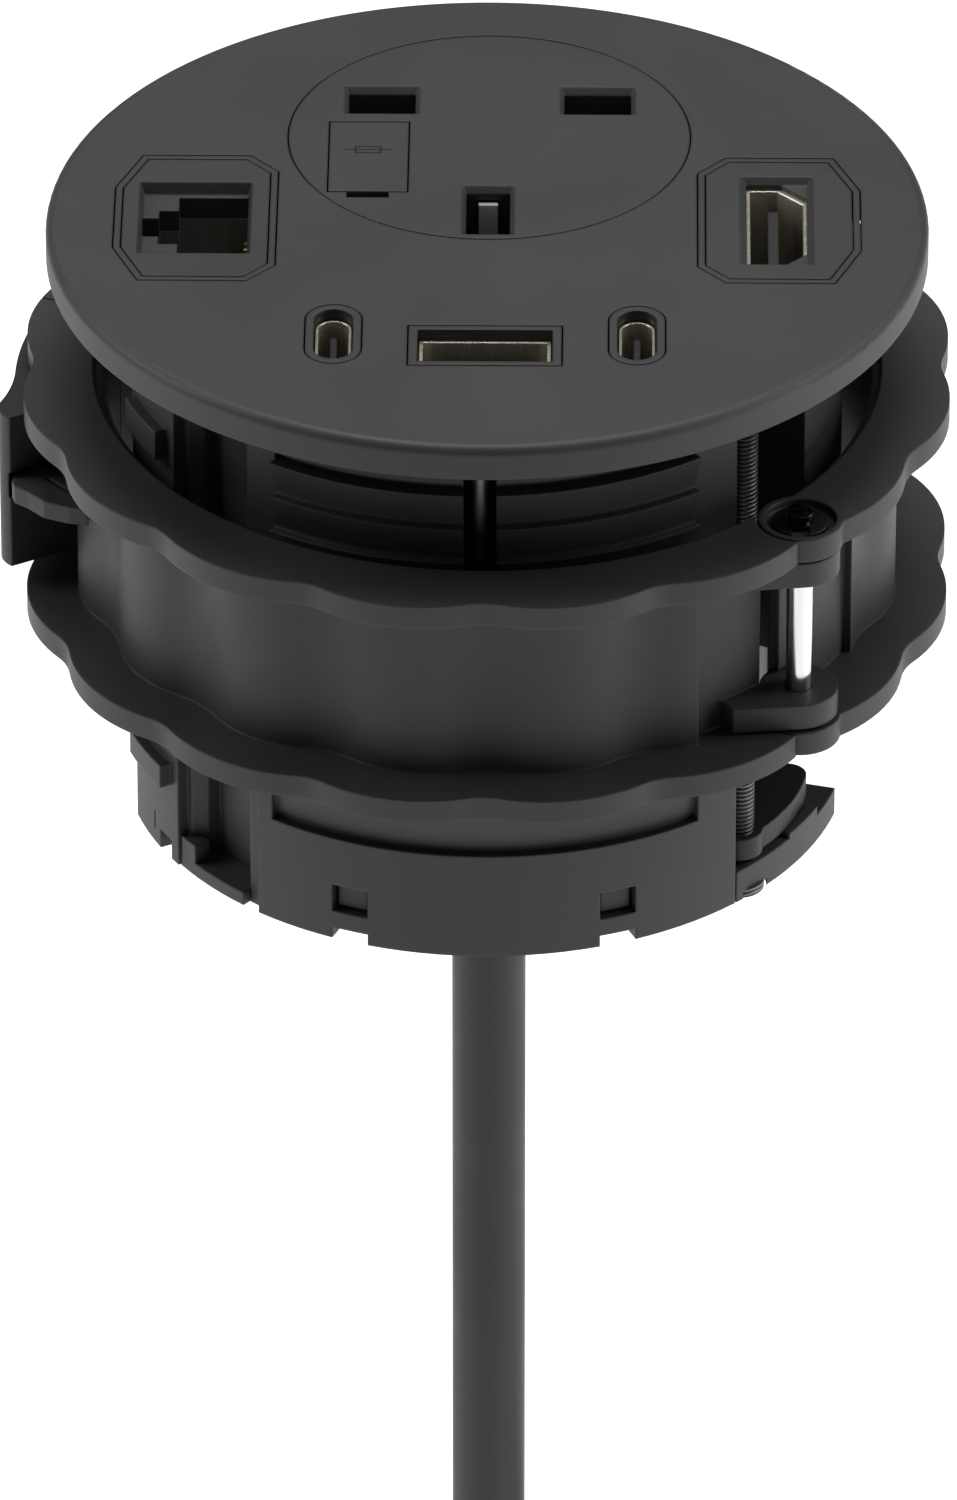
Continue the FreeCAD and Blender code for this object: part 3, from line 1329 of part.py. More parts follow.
def core_wire(place):
    """One conductor, from the end of the sheath up to its terminal."""
    x_top = place * WIRE_SPREAD
    y_top = TERMINAL_Y + WIRE_ENTRY_Y
    x_low = CABLE_X + place * 2.3
    top = TERMINAL_TOP - TERMINAL[2] + WIRE_ENTRY
    points = [
        Vector(x_low, 0, CABLE_START),
        Vector(x_low, 0, CABLE_START + 3.2),
        Vector((x_low + x_top) / 2, y_top / 2, CABLE_START + 8.0),
        Vector(x_top, y_top, top - 7.0),
        Vector(x_top, y_top, top),
    ]
    path, radii = bent_path(points)
    ring = Part.Wire(Part.makeCircle(WIRE_R - RUNNING_FIT, points[0], UP))
    print("core wire radii", [round(radius, 1) for radius in radii])
    return path.makePipeShell([ring], True, False)


def power_board():
    near, far = POWER_BOARD_Y
    half = POWER_BOARD_X
    low = POWER_BOARD_LOW
    board = block(-half, half, near, far, low, low + BOARD_THICK)
    posts = [cylinder(1.8, low + BOARD_THICK, DECK_LOW, (side * (half - 3), far - 3))
             for side in (-1, 1)]
    return board.multiFuse(posts).removeSplitter()


def transformer():
    left, right, near, far = CORE
    high = POWER_BOARD_LOW
    low = high - CORE_HIGH
    core = block(left, right, near, far, low, high)
    winding = block(left + CORE_FRAME, right - CORE_FRAME, near - 1, far + 0.5,
                    low + CORE_FRAME, high - CORE_FRAME)
    return core.fuse(winding).removeSplitter()


def capacitor():
    can = cylinder(CAPACITOR_R, POWER_BOARD_LOW - CAPACITOR_HIGH, POWER_BOARD_LOW, CAPACITOR_AT)
    middle = POWER_BOARD_LOW - CAPACITOR_HIGH / 2
    edges = [e for e in can.Edges if len(e.Vertexes) == 1 and e.Vertexes[0].Z < middle]
    return can.makeFillet(0.6, edges)


def cable_gland():
    """The cable's grommet: flange inside, neck through the cover, tapered boot below."""
    x = CABLE_X
    flange_disc = cylinder(GLAND_FLANGE_R, FLOOR_LEVEL, FLOOR_LEVEL + 2.0, (x, 0))
    neck = cylinder(GLAND_NECK_R, BODY_LOW, FLOOR_LEVEL, (x, 0))
    collar = cylinder(BOOT_R + 1.2, BODY_LOW - 1.5, BODY_LOW, (x, 0))
    boot_low = BODY_LOW - BOOT_LONG
    boot = Part.makeCone(CABLE_R + 0.9, BOOT_R, BOOT_LONG, Vector(x, 0, boot_low))
    shape = flange_disc.multiFuse([neck, collar, boot])
    return shape.cut(cylinder(CABLE_R + PRESS_ROOM, boot_low - 1, FLOOR_LEVEL + 3, (x, 0)))


def mains_cable():
    return cylinder(CABLE_R, COIL_LEVEL + 2 * CABLE_R, CABLE_START, (CABLE_X, 0))


def coil_path():
    """Half turns that spiral in, climb a layer and spiral out again."""
    inward = COIL_HALF_TURNS // 2
    radii = [COIL_R - index * COIL_STEP / 2 for index in range(inward)]
    radii += radii[::-1]
    x, y = CABLE_X, 0.0
    start = Vector(x, y, COIL_LEVEL + 2 * CABLE_R)
    edges = [Part.LineSegment(start, Vector(x, y, COIL_LEVEL)).toShape()]
    for index, radius in enumerate(radii):
        side = 1 if index % 2 == 0 else -1
        climb = COIL_STEP if index == inward - 1 else 0
        end_x = x + side * 2 * radius
        here = Vector(x, y, COIL_LEVEL)
        there = Vector(end_x, y + climb, COIL_LEVEL)
        middle = (here + there) / 2 + Vector(0, 0, -side * (there - here).Length / 2)
        edges.append(Part.Arc(here, middle, there).toShape())
        x, y = end_x, y + climb
    last = Vector(x, y, COIL_LEVEL)
    end = last - Vector(0, 0, 2 * CABLE_R)
    edges.append(Part.LineSegment(last, end).toShape())
    return Part.Wire(edges), end


def cable_coil():
    path, end = coil_path()
    top = Vector(CABLE_X, 0, COIL_LEVEL + 2 * CABLE_R)
    ring = Part.Wire(Part.makeCircle(CABLE_R, top, UP))
    coil = path.makePipeShell([ring], True, False)
    wanted = math.pi * CABLE_R**2 * path.Length
    print("coil length", round(path.Length, 1), "volume ratio", round(coil.Volume / wanted, 5))
    print("coil least gap to itself", round(least_gap(path), 2))
    return coil


def least_gap(path):
    """Least gap between the tube and itself, on points a few millimetres apart along it."""
    points = path.discretize(Distance=COIL_PROBE)
    apart = math.ceil(COIL_NEIGHBOURS * CABLE_R / COIL_PROBE)
    nearest = min((first - second).Length for index, first in enumerate(points)
                  for second in points[index + apart:])
    return nearest - 2 * CABLE_R


def cable_tail():
    path, end = coil_path()
    return cylinder(CABLE_R, COIL_LEVEL - TAIL_LONG, end.z, (end.x, end.y))


def coil_tie():
    middle_x = CABLE_X + COIL_R
    inner_r = COIL_R - (COIL_HALF_TURNS / 2 - 1) * COIL_STEP / 2
    near = -CABLE_R - TIE_ROOM
    far = COIL_STEP + CABLE_R + TIE_ROOM
    high = COIL_LEVEL + COIL_R + CABLE_R + TIE_ROOM
    low = COIL_LEVEL + inner_r - CABLE_R - TIE_DIP
    half = TIE_WIDE / 2
    t = TIE_THICK
    outer = block(middle_x - half, middle_x + half, near - t, far + t, low - t, high + t)
    inner = block(middle_x - half - 1, middle_x + half + 1, near, far, low, high)
    return outer.cut(inner)


def connector_body():
    path, end = coil_path()
    wide, long, high = CONNECTOR
    top = COIL_LEVEL - TAIL_LONG
    at = (end.x, end.y)
    body = rounded_block((wide, long), 2.5, top - 6 - high, top - 6, at)
    neck = Part.makeCone(CABLE_R + 2.0, CABLE_R + 0.8, 8.0, Vector(at[0], at[1], top - 7))
    body = body.fuse(neck)
    cuts = [cylinder(CABLE_R, top, top + 5, at)]
    cuts.append(rounded_block((wide - 3, long - 3), 1.5, top - 7 - high, top - high + 4, at))
    return body.cut(cuts)


def connector_pins():
    path, end = coil_path()
    wide, long, high = CONNECTOR
    low = COIL_LEVEL - TAIL_LONG - 4 - high
    pins = []
    for place in (-1, 0, 1):
        at = (end.x + place * 6.5, end.y)
        pins.append(cylinder(1.6, low, COIL_LEVEL - TAIL_LONG - high + 4, at))
    return Part.makeCompound(pins)


def export(name, shape):
    if not shape.isValid() or not shape.Solids:
        raise ValueError(name + " is not a sound solid")
    solids = [solid for solid in shape.Solids]
    whole = solids[0] if len(solids) == 1 else Part.makeCompound(solids)
    whole.exportStep("parts/" + name + ".step")
    print(name, len(solids), round(sum(solid.Volume for solid in solids), 1))


def pieces():
    yield "bezel", bezel()
    yield "socket_insert", socket_insert()
    yield "socket_base", socket_base()
    yield "socket_shutter", socket_shutter()
    yield "shutter_spring", shutter_spring()
    for name, slot, at in contact_places():
        yield name, contact(slot, at)
    yield "fuse_drawer", fuse_drawer()
    yield "fuse_cartridge", fuse_cartridge()
    yield "fuse_strip", fuse_strip()
    yield "left_data_frame", data_frame(-1)
    yield "rj45_insert", rj45_insert()
    yield "rj45_jack", rj45_jack()
    yield "rj45_contacts", rj45_contacts()
    yield "right_data_frame", data_frame(1)
    yield "hdmi_insert", hdmi_insert()
    yield "hdmi_shell", hdmi_shell()
    yield "hdmi_tongue", hdmi_tongue()
    yield "usb_a_frame", usb_a_frame()
    yield "usb_a_shell", usb_a_shell()
    yield "usb_a_tongue", usb_a_tongue()
    yield "usb_c_frames", Part.makeCompound([usb_c_frame(side) for side in (-1, 1)])
    yield "usb_c_shells", Part.makeCompound([usb_c_shell(side) for side in (-1, 1)])
    yield "usb_c_tongues", Part.makeCompound([usb_c_tongue(side) for side in (-1, 1)])
    yield "charger_housing", charger_housing()
    yield "port_board", port_board()
    yield "chassis", chassis()
    yield "base_cover", base_cover()
    yield "tie_rod", tie_rod()
    yield "bezel_screws", bezel_screws()
    for side, word in ((1, "right"), (-1, "left")):
        yield "clamp_screw_" + word, clamp_screw(side)
        yield "clamp_nut_" + word, clamp_nut(side)
        yield "clamp_wing_" + word, clamp_wing(side)
    yield "collar_front_half", collar_front_half()
    yield "collar_rear_half", collar_rear_half()
    yield "hinge_pin", hinge_pin()
    yield "hinge_clip", hinge_clip()
    yield "latch_pin", latch_pin()
    yield "latch_lever", latch_lever()
    yield "terminal_block", terminal_block()
    yield "terminal_screws", terminal_screws()
    for place, word in ((-1, "live_wire"), (0, "earth_wire"), (1, "neutral_wire")):
        yield word, core_wire(place)
    yield "power_board", power_board()
    yield "transformer", transformer()
    yield "capacitor", capacitor()
    yield "cable_gland", cable_gland()
    yield "mains_cable", mains_cable()
    yield "cable_coil", cable_coil()
    yield "cable_tail", cable_tail()
    yield "coil_tie", coil_tie()
    yield "connector_body", connector_body()
    yield "connector_pins", connector_pins()


os.makedirs("parts", exist_ok=True)
for piece_name, piece_shape in pieces():
    export(piece_name, piece_shape)
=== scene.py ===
import math
import bpy
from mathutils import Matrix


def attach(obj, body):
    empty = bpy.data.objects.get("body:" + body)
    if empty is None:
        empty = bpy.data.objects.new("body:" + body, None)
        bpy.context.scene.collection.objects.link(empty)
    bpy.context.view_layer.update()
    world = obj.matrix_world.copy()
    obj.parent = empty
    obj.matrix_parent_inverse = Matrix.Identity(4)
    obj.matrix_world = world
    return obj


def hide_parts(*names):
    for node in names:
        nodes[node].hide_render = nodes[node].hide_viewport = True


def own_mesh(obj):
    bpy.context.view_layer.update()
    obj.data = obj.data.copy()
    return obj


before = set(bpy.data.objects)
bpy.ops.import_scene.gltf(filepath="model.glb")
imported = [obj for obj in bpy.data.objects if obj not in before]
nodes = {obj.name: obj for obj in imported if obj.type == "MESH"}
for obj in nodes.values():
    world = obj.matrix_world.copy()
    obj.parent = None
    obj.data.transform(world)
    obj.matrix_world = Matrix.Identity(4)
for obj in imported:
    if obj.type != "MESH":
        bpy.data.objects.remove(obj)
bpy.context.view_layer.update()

MM = 0.001

# Camera, fitted to the photograph: degrees, metres, and pixels of the photograph
ELEVATION = 32.495
TURN = 0.56
DISTANCE = 1.680
AIM_X = -0.00089
AIM_Z = -0.06054
FOCAL_PIXELS = 16155.1
PHOTO_HIGH = 1500.0
SENSOR_HIGH = 36.0

# Mains lead, from inside the gland down to the connector
CABLE_R = 3.85 * MM
CABLE_X = 0.2 * MM
CABLE_EXIT = -81.7 * MM
LEAD_INSIDE = 4.0 * MM
LEAD_STEP = 19.5 * MM
LEAD_POINTS = 7
COIL_LEVEL = -224.0 * MM
COIL_R = 46.0 * MM
COIL_STEP = 3.5 * CABLE_R
COIL_HALF_TURNS = 8
POINTS_PER_HALF = 10
TAIL_DROPS = (18.0 * MM, 31.0 * MM, 44.0 * MM)
CABLE_END = -280.0 * MM

# Heights above the desk's top
BEZEL_TOP = 3.6 * MM
PAD_TOP = -1.7 * MM
PIN_HEAD_LOW = -14.4 * MM

# Fuse symbol on the drawer: its middle, half its body, half its wire, half a line and its depth
SYMBOL_X = -12.35 * MM
SYMBOL_Y = 13.85 * MM
SYMBOL_HALF_X = 1.4 * MM
SYMBOL_HALF_Y = 0.75 * MM
SYMBOL_WIRE = 2.4 * MM
SYMBOL_LINE = 0.12 * MM
SYMBOL_DEEP = 0.05 * MM

# Fine detail of the surfaces
MOULDED_EDGE_R = 0.35 * MM
METAL_EDGE_R = 0.2 * MM
# How far the shade painted into seams and corners reaches
CREVICE_SHADE_REACH = 0.6 * MM
PLASTIC_GRAIN = 0.02 * MM
RUBBER_GRAIN = 0.03 * MM
STREAK_DEEP = 0.01 * MM
THREAD_PITCH = 0.5 * MM

# How a metal's streaks are stretched: they run along the axis with the smallest number
UPRIGHT = (1, 1, 0.1)
ALONG_X = (0.2, 1, 1)
ALL_WAYS = (1, 1, 1)
LAYERED = (1, 1, 6)

# Colours
BLACK = (0.0355, 0.0355, 0.0355)
DARK = (0.018, 0.018, 0.018)
# Painted shade: the shutter's colour below the pads' top, standing for the deep shadow in the slots
PAD_PAINTED_SHADE = (0.015, 0.015, 0.015)
RAMP_GREY = (0.5, 0.5, 0.5)
CHROME = (0.8, 0.8, 0.81)
PIN_HEAD = (0.05, 0.05, 0.05)
CLIP_STEEL = (0.06, 0.06, 0.06)
ROD_STEEL = (0.2, 0.2, 0.2)
SPRING_STEEL = (0.55, 0.55, 0.55)
JACK_METAL = (0.3, 0.3, 0.3)
PORT_METAL = (0.92, 0.86, 0.72)
BRASS = (0.75, 0.55, 0.25)
CORE_IRON = (0.2, 0.18, 0.16)
CAN_METAL = (0.6, 0.6, 0.62)
CERAMIC = (0.8, 0.79, 0.75)
BOARD_GREEN = (0.02, 0.12, 0.04)
BLOCK_WHITE = (0.7, 0.7, 0.68)
GLAND_BLACK = (0.03, 0.03, 0.03)
TIE_BLACK = (0.02, 0.02, 0.02)
SHEATH_BLACK = (0.036, 0.036, 0.036)
CORE_BROWN = (0.2, 0.08, 0.03)
CORE_BLUE = (0.03, 0.1, 0.4)
CORE_GREEN = (0.3, 0.5, 0.05)
FLOOR_WHITE = (0.9, 0.9, 0.9)
FLOOR_PALE = (0.93, 0.93, 0.93)

# Floor and light
FLOOR_SIZE = 12.0
FLOOR_PLACE = (0, 2.0, -0.35)
FLOOR_GLOW = 0.45
WORLD_GLOW = 0.1
LIGHT_AIM = (0, 0, -0.05)


def add_object(name, data):
    made = bpy.data.objects.new(name, data)
    bpy.context.scene.collection.objects.link(made)
    return made


def shade(colour, share, lift=0.0):
    """A darker or paler colour: a share of each part, lifted, and never over 1."""
    return tuple(min(1.0, share * part + lift) for part in colour)


# Camera


def make_camera():
    elevation = math.radians(ELEVATION)
    turn = math.radians(TURN)
    back = -DISTANCE * math.cos(elevation)
    data = bpy.data.cameras.new("camera")
    data.sensor_fit = "VERTICAL"
    data.sensor_height = SENSOR_HIGH
    data.lens = FOCAL_PIXELS * SENSOR_HIGH / PHOTO_HIGH
    data.clip_start = 0.05
    data.clip_end = 50.0
    camera = add_object("camera", data)
    camera.location = (
        AIM_X * math.cos(turn) - back * math.sin(turn),
        AIM_X * math.sin(turn) + back * math.cos(turn),
        AIM_Z + DISTANCE * math.sin(elevation),
    )
    camera.rotation_euler = (math.pi / 2 - elevation, 0, turn)
    bpy.context.scene.camera = camera


# Mains lead


def lead_points():
    """Straight down, then half turns that spiral in, climb a layer and spiral out."""
    step = math.pi / POINTS_PER_HALF
    fit = math.cos(step / 2)
    inward = COIL_HALF_TURNS // 2
    radii = [COIL_R - index * COIL_STEP / 2 for index in range(inward)]
    radii += radii[::-1]
    start = CABLE_EXIT + LEAD_INSIDE
    points = [(CABLE_X, 0.0, start - index * LEAD_STEP) for index in range(LEAD_POINTS)]
    points.append((CABLE_X, 0.0, COIL_LEVEL + radii[0] * math.tan(step / 2)))
    x, y = CABLE_X, 0.0
    for index, radius in enumerate(radii):
        side = 1 if index % 2 == 0 else -1
        climb = COIL_STEP if index == inward - 1 else 0.0
        for place in range(POINTS_PER_HALF):
            angle = (place + 0.5) * step
            along = (1 - math.cos(angle) / fit) / 2
            points.append((x + side * 2 * radius * along, y + climb * along,
                           COIL_LEVEL - side * radius * math.sin(angle) / fit))
        x, y = x + side * 2 * radius, y + climb
    points.append((x, y, COIL_LEVEL - radii[-1] * math.tan(step / 2)))
    points += [(x, y, COIL_LEVEL - drop) for drop in TAIL_DROPS]
    points.append((x, y, CABLE_END))
    return points


def make_lead():
    """The whole lead as one curve. Its points carry the cable's radius, so its box fits it."""
    points = lead_points()
    data = bpy.data.curves.new("mains_lead", "CURVE")
    data.dimensions = "3D"
    data.bevel_depth = 1.0
    data.bevel_resolution = 6
    data.resolution_u = 6
    data.use_fill_caps = True
    spline = data.splines.new("NURBS")
    spline.points.add(len(points) - 1)
    for point, place in zip(spline.points, points):
        point.co = (*place, 1.0)
        point.radius = CABLE_R
    spline.order_u = 3
    spline.use_endpoint_u = True
    lead = add_object("mains_lead", data)
    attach(lead, "module")
    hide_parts("mains_cable", "cable_coil", "cable_tail")
    return lead


# Spring of the shutter


def make_spring():
    """The spring behind the shutter, as a copy with its own mesh that moves with the module."""
    packed = nodes["shutter_spring"]
    spring = add_object("pressed_spring", packed.data.copy())
    spring.matrix_world = packed.matrix_world
    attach(spring, "module")
    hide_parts("shutter_spring")
    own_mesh(spring)
    return spring


# Kinds of material


class Shader:
    """A new material with short calls for its nodes and links."""

    def __init__(self, name):
        self.material = bpy.data.materials.new(name)
        self.material.use_nodes = True
        self.tree = self.material.node_tree
        self.surface = self.tree.nodes["Principled BSDF"]
        self.place = self.add("ShaderNodeTexCoord").outputs["Object"]

    def add(self, kind, **settings):
        node = self.tree.nodes.new(kind)
        for name, value in settings.items():
            setattr(node, name, value)
        return node

    def link(self, start, end):
        self.tree.links.new(start, end)

    def put(self, name, value):
        """Set an input of the surface to a fixed value."""
        self.surface.inputs[name].default_value = value

    def feed(self, name, source):
        """Link a node's output to an input of the surface."""
        self.link(source, self.surface.inputs[name])

    def paint_over(self, mask, colour):
        """Lay a colour over the base colour where the mask is 1."""
        before = self.surface.inputs["Base Color"].links[0].from_socket
        self.feed("Base Color", self.mix(mask, before, colour))

    def fill(self, socket, value):
        """Give a socket a number, a colour or a link, whichever the value is."""
        if isinstance(value, (int, float)):
            socket.default_value = value
        elif isinstance(value, tuple):
            socket.default_value = (*value, 1.0)
        else:
            self.link(value, socket)

    def noise(self, scale, detail, stretch=None):
        node = self.add("ShaderNodeTexNoise")
        node.inputs["Scale"].default_value = scale
        node.inputs["Detail"].default_value = detail
        place = self.place
        if stretch:
            mapping = self.add("ShaderNodeMapping")
            mapping.inputs["Scale"].default_value = stretch
            self.link(place, mapping.inputs["Vector"])
            place = mapping.outputs["Vector"]
        self.link(place, node.inputs["Vector"])
        return node.outputs["Fac"]

    def spread(self, value, low, high, start=0.3, end=0.7):
        """Stretch the values from start to end over the range from low to high."""
        node = self.add("ShaderNodeMapRange")
        node.inputs["From Min"].default_value = start
        node.inputs["From Max"].default_value = end
        node.inputs["To Min"].default_value = low
        node.inputs["To Max"].default_value = high
        self.link(value, node.inputs["Value"])
        return node.outputs["Result"]

    def math(self, operation, first, second=None):
        node = self.add("ShaderNodeMath", operation=operation)
        self.fill(node.inputs[0], first)
        if second is not None:
            self.fill(node.inputs[1], second)
        return node.outputs["Value"]

    def mix(self, factor, first, second):
        """Mix two colours. The node's colour sockets are its inputs 6 and 7 and its output 2."""
        node = self.add("ShaderNodeMix", data_type="RGBA")
        self.fill(node.inputs[0], factor)
        self.fill(node.inputs[6], first)
        self.fill(node.inputs[7], second)
        return node.outputs[2]

    def edges(self, radius):
        """Normals rounded over the sharp edges."""
        node = self.add("ShaderNodeBevel", samples=6)
        node.inputs["Radius"].default_value = radius
        return node.outputs["Normal"]

    def painted_crevice_shade(self):
        """Mask of painted shade: 1 in the narrow seams and corners, 0 on the open faces."""
        node = self.add("ShaderNodeAmbientOcclusion", samples=8)
        node.inputs["Distance"].default_value = CREVICE_SHADE_REACH
        return self.spread(node.outputs["AO"], low=1.0, high=0.0, start=0.1, end=0.55)

    def bump(self, height, distance, strength, normal=None):
        node = self.add("ShaderNodeBump")
        node.inputs["Strength"].default_value = strength
        node.inputs["Distance"].default_value = distance
        self.link(height, node.inputs["Height"])
        if normal:
            self.link(normal, node.inputs["Normal"])
        return node.outputs["Normal"]

    def split(self):
        node = self.add("ShaderNodeSeparateXYZ")
        self.link(self.place, node.inputs["Vector"])
        return node.outputs


def plastic(name, colour, roughness):
    """Moulded plastic with a fine grain, worn patches, rounded edges, and shade painted into its
    crevices.
    """
    shader = Shader(name)
    shader.put("Specular IOR Level", 0.35)
    worn = shade(colour, 1.5, lift=0.004)
    patches = shader.noise(scale=55.0, detail=4.0)
    tint = shader.mix(shader.spread(patches, low=0.0, high=0.22), colour, worn)
    # Painted shade: the base colour goes nearly black in narrow seams and corners, where shadow would
    # fall
    shader.feed("Base Color", shader.mix(shader.painted_crevice_shade(), tint, shade(colour, 0.1)))
    shader.feed("Roughness", shader.spread(patches, low=roughness - 0.05, high=roughness + 0.06))
    fine = shader.noise(scale=5200.0, detail=2.0)
    rounded = shader.edges(MOULDED_EDGE_R)
    shader.feed("Normal", shader.bump(fine, distance=PLASTIC_GRAIN, strength=0.35, normal=rounded))
    return shader


def painted_shade_below(name, high_colour, shade_colour, roughness, level):
    """One moulding in its own colour above a level, with a dark painted shade below it."""
    shader = plastic(name, shade_colour, roughness)
    above = shader.math("GREATER_THAN", shader.split()["Z"], level)
    shader.paint_over(above, high_colour)
    return shader


def metal(name, colour, roughness, stretch):
    """Metal with fine streaks, which the stretch lays along one axis, and rounded edges."""
    shader = Shader(name)
    shader.put("Metallic", 1.0)
    streaks = shader.noise(scale=900.0, detail=3.0, stretch=stretch)
    dull = shader.spread(streaks, low=0.0, high=0.5)
    shader.feed("Base Color", shader.mix(dull, colour, shade(colour, 0.8)))
    shader.feed("Roughness", shader.spread(streaks, low=roughness - 0.04, high=roughness + 0.08))
    rounded = shader.edges(METAL_EDGE_R)
    shader.feed("Normal", shader.bump(streaks, distance=STREAK_DEEP, strength=0.25, normal=rounded))
    return shader


def pin_metal(name, colour, roughness, dark_above):
    """The bright hinge pin, whose riveted head is dark."""
    shader = metal(name, colour, roughness, UPRIGHT)
    head = shader.math("GREATER_THAN", shader.split()["Z"], dark_above)
    shader.paint_over(head, PIN_HEAD)
    return shader


def threaded(name, colour, pitch):
    """Steel rod whose fine thread is drawn as rings, with shade painted between them."""
    shader = Shader(name)
    shader.put("Metallic", 1.0)
    shader.put("Roughness", 0.42)
    turns = shader.math("MULTIPLY", shader.split()["Z"], 2 * math.pi / pitch)
    wave = shader.math("SINE", turns)
    crest = shader.spread(wave, low=0.0, high=1.0, start=-1.0, end=1.0)
    # Painted shade: the base colour darkens in the grooves between the rings
    shader.feed("Base Color", shader.mix(crest, shade(colour, 0.25), colour))
    shader.feed("Normal", shader.bump(wave, distance=0.4 * pitch, strength=0.9))
    return shader


def rubber(name, colour, roughness):
    """Rubber or a soft sheath, with a grain and paler, dusty patches."""
    shader = Shader(name)
    shader.put("Specular IOR Level", 0.3)
    paler = shade(colour, 1.4, lift=0.003)
    dust = shader.noise(scale=70.0, detail=5.0)
    shader.feed("Base Color", shader.mix(shader.spread(dust, low=0.0, high=0.3), colour, paler))
    shader.feed("Roughness", shader.spread(dust, low=roughness - 0.05, high=roughness + 0.08))
    fine = shader.noise(scale=2500.0, detail=2.0)
    shader.feed("Normal", shader.bump(fine, distance=RUBBER_GRAIN, strength=0.3))
    return shader


def inside_box(shader, half_x, half_y):
    """1 inside an upright box round the fuse symbol's middle, 0 outside."""
    sides = shader.split()
    near_x = shader.math("ABSOLUTE", shader.math("SUBTRACT", sides["X"], SYMBOL_X))
    near_y = shader.math("ABSOLUTE", shader.math("SUBTRACT", sides["Y"], SYMBOL_Y))
    in_x = shader.math("LESS_THAN", near_x, half_x)
    in_y = shader.math("LESS_THAN", near_y, half_y)
    return shader.math("MULTIPLY", in_x, in_y)


def marked_drawer(name, colour, roughness):
    """The fuse drawer, with a plain fuse symbol in darker paint on its top."""
    shader = plastic(name, colour, roughness)
    outer = inside_box(shader, SYMBOL_HALF_X, SYMBOL_HALF_Y)
    inner = inside_box(shader, SYMBOL_HALF_X - 2 * SYMBOL_LINE, SYMBOL_HALF_Y - 2 * SYMBOL_LINE)
    wire = inside_box(shader, SYMBOL_WIRE, SYMBOL_LINE)
    mark = shader.math("MAXIMUM", shader.math("SUBTRACT", outer, inner), wire)
    top = shader.math("GREATER_THAN", shader.split()["Z"], BEZEL_TOP - SYMBOL_DEEP)
    shader.paint_over(shader.math("MULTIPLY", mark, top), shade(colour, 0.02))
    return shader


# Materials of the pieces


def paint(piece, shader):
    piece.data.materials.clear()
    piece.data.materials.append(shader.material)


def dress(shader, *names):
    for name in names:
        paint(nodes[name], shader)


def dress_mouldings():
    dress(plastic("black_moulding", BLACK, 0.5),
          "bezel", "socket_insert", "chassis", "base_cover", "collar_front_half", "collar_rear_half")
    # A darker copy of the black moulding: partly the clamp wings' own darker finish, partly painted
    # shade for the shadow on the latch lever's face
    dress(plastic("lever_moulding", shade(BLACK, 0.4), 0.5),
          "latch_lever", "clamp_wing_right", "clamp_wing_left")
    dress(plastic("black_frame", shade(BLACK, 0.92), 0.48),
          "left_data_frame", "right_data_frame", "rj45_insert", "hdmi_insert", "usb_a_frame",
          "usb_c_frames")
    dress(plastic("dark_insert", DARK, 0.45),
          "socket_base", "hdmi_tongue", "usb_a_tongue", "usb_c_tongues", "charger_housing",
          "connector_body")
    dress(marked_drawer("drawer_moulding", BLACK, 0.5), "fuse_drawer")
    # The shutter is grey; below the pads' top its colour is painted shade, for the deep shadow in the
    # slots
    dress(painted_shade_below("grey_shutter", RAMP_GREY, PAD_PAINTED_SHADE, 0.45, PAD_TOP), "socket_shutter")


def dress_ports():
    dress(metal("jack_shield", JACK_METAL, 0.45, UPRIGHT), "rj45_jack")
    port_metal = metal("port_metal", PORT_METAL, 0.22, UPRIGHT)
    port_metal.put("Metallic", 0.82)
    dress(port_metal, "hdmi_shell", "usb_a_shell", "usb_c_shells")


def dress_steel_parts(spring):
    dress(pin_metal("chrome_pin", CHROME, 0.14, PIN_HEAD_LOW), "hinge_pin")
    dress(metal("dark_steel", CLIP_STEEL, 0.4, UPRIGHT),
          "hinge_clip", "latch_pin", "bezel_screws", "terminal_screws")
    dress(metal("grey_steel", ROD_STEEL, 0.35, UPRIGHT), "tie_rod")
    dress(threaded("threaded_steel", ROD_STEEL, THREAD_PITCH), "clamp_screw_right", "clamp_screw_left")
    paint(spring, metal("spring_steel", SPRING_STEEL, 0.3, ALL_WAYS))


def dress_brass_parts():
    dress(metal("brass_part", BRASS, 0.3, ALONG_X),
          "live_contact", "neutral_contact", "earth_contact", "fuse_strip", "clamp_nut_right",
          "clamp_nut_left", "connector_pins", "rj45_contacts")


def dress_electrical_parts():
    dress(plastic("ceramic", CERAMIC, 0.25), "fuse_cartridge")
    dress(plastic("board", BOARD_GREEN, 0.35), "port_board", "power_board")
    dress(metal("core_iron", CORE_IRON, 0.55, LAYERED), "transformer")
    dress(metal("can_metal", CAN_METAL, 0.3, UPRIGHT), "capacitor")
    dress(plastic("white_block", BLOCK_WHITE, 0.45), "terminal_block")


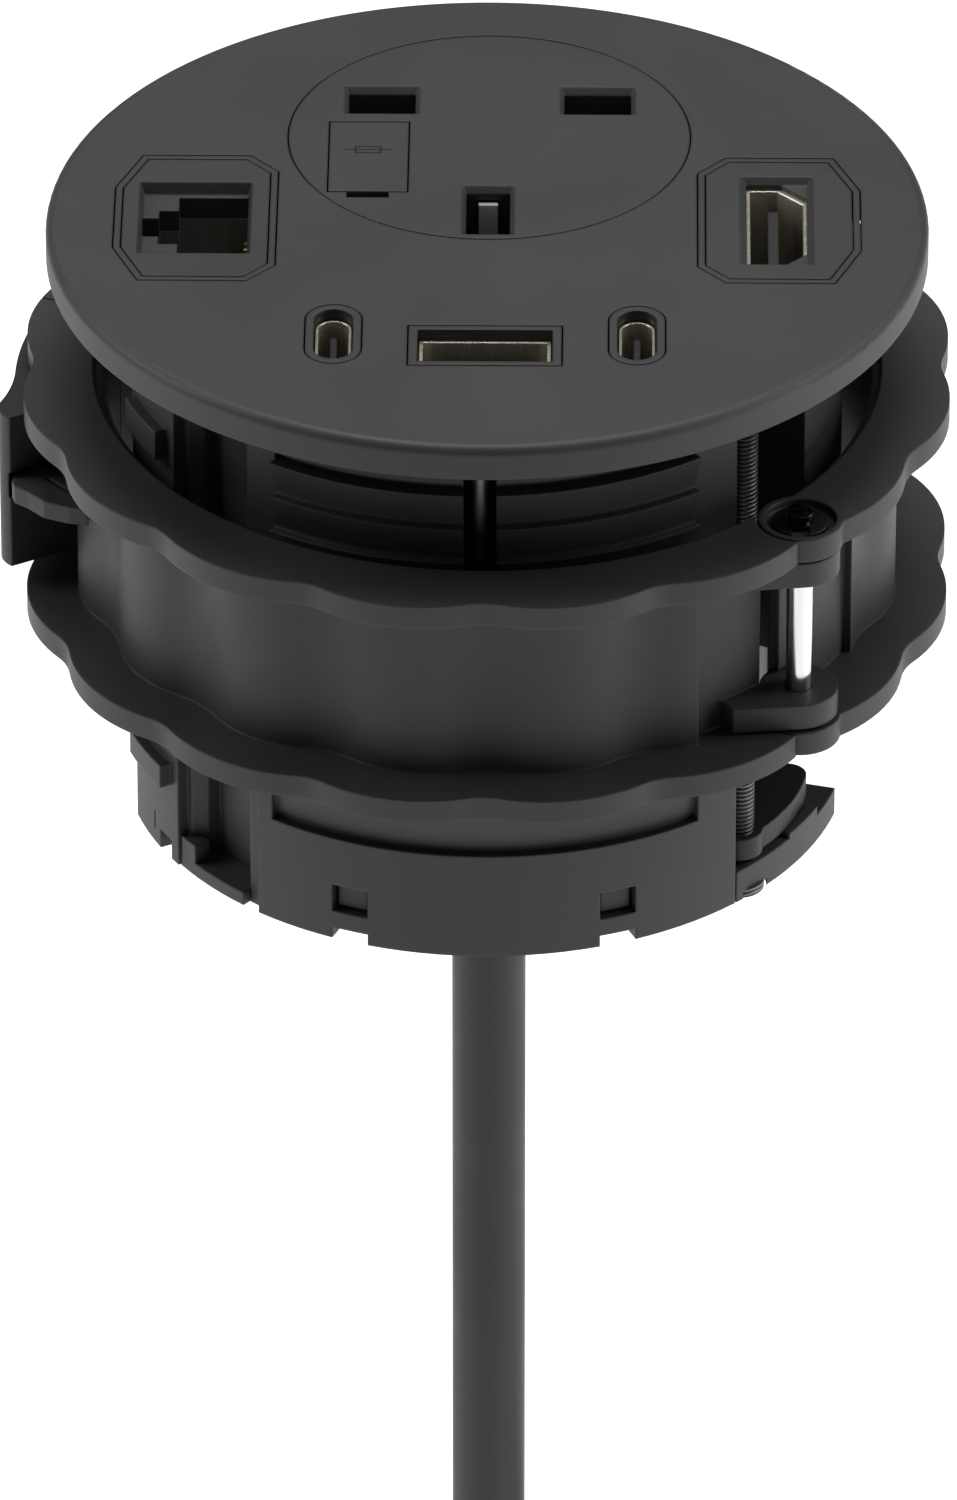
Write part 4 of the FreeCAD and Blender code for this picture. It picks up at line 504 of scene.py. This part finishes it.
def dress_wiring(lead):
    dress(rubber("gland_rubber", GLAND_BLACK, 0.6), "cable_gland")
    dress(rubber("tie_band", TIE_BLACK, 0.6), "coil_tie")
    dress(rubber("brown_core", CORE_BROWN, 0.5), "live_wire")
    dress(rubber("blue_core", CORE_BLUE, 0.5), "neutral_wire")
    dress(rubber("green_yellow_core", CORE_GREEN, 0.5), "earth_wire")
    paint(lead, rubber("cable_sheath", SHEATH_BLACK, 0.55))


# Stage and light


def make_floor():
    bpy.ops.mesh.primitive_plane_add(size=FLOOR_SIZE, location=FLOOR_PLACE)
    floor = bpy.context.object
    floor.name = "floor"
    shader = Shader("floor_paint")
    shader.put("Roughness", 0.9)
    shader.put("Specular IOR Level", 0.1)
    shader.put("Emission Color", (1.0, 1.0, 1.0, 1.0))
    shader.put("Emission Strength", FLOOR_GLOW)
    clouds = shader.spread(shader.noise(scale=3.0, detail=3.0), low=0.0, high=1.0)
    shader.feed("Base Color", shader.mix(clouds, FLOOR_WHITE, FLOOR_PALE))
    paint(floor, shader)


def area_light(name, place, size, power):
    data = bpy.data.lights.new(name, "AREA")
    data.shape = "RECTANGLE"
    data.size, data.size_y = size
    data.energy = power
    light = add_object(name, data)
    light.location = place
    direction = light.location.copy()
    for axis, aim in enumerate(LIGHT_AIM):
        direction[axis] -= aim
    light.rotation_euler = direction.to_track_quat("Z", "Y").to_euler()


def make_light():
    scene = bpy.context.scene
    scene.view_settings.view_transform = "Standard"
    world = bpy.data.worlds.new("studio")
    scene.world = world
    world.use_nodes = True
    background = world.node_tree.nodes["Background"]
    background.inputs["Color"].default_value = (1, 1, 1, 1)
    background.inputs["Strength"].default_value = WORLD_GLOW
    area_light("top_light", place=(0.0, 0.6, 1.6), size=(1.2, 1.2), power=21.0)
    area_light("upper_left_light", place=(-1.3, 0.2, 0.9), size=(0.8, 0.8), power=10.0)
    area_light("upper_right_light", place=(1.3, 0.2, 0.9), size=(0.8, 0.8), power=10.0)
    area_light("low_left_light", place=(-1.6, -0.2, 0.0), size=(0.8, 0.5), power=2.5)
    area_light("low_right_light", place=(1.6, -0.3, 0.0), size=(0.8, 0.5), power=7.0)


make_camera()
mains_lead = make_lead()
pressed_spring = make_spring()
dress_mouldings()
dress_ports()
dress_steel_parts(pressed_spring)
dress_brass_parts()
dress_electrical_parts()
dress_wiring(mains_lead)
make_floor()
make_light()
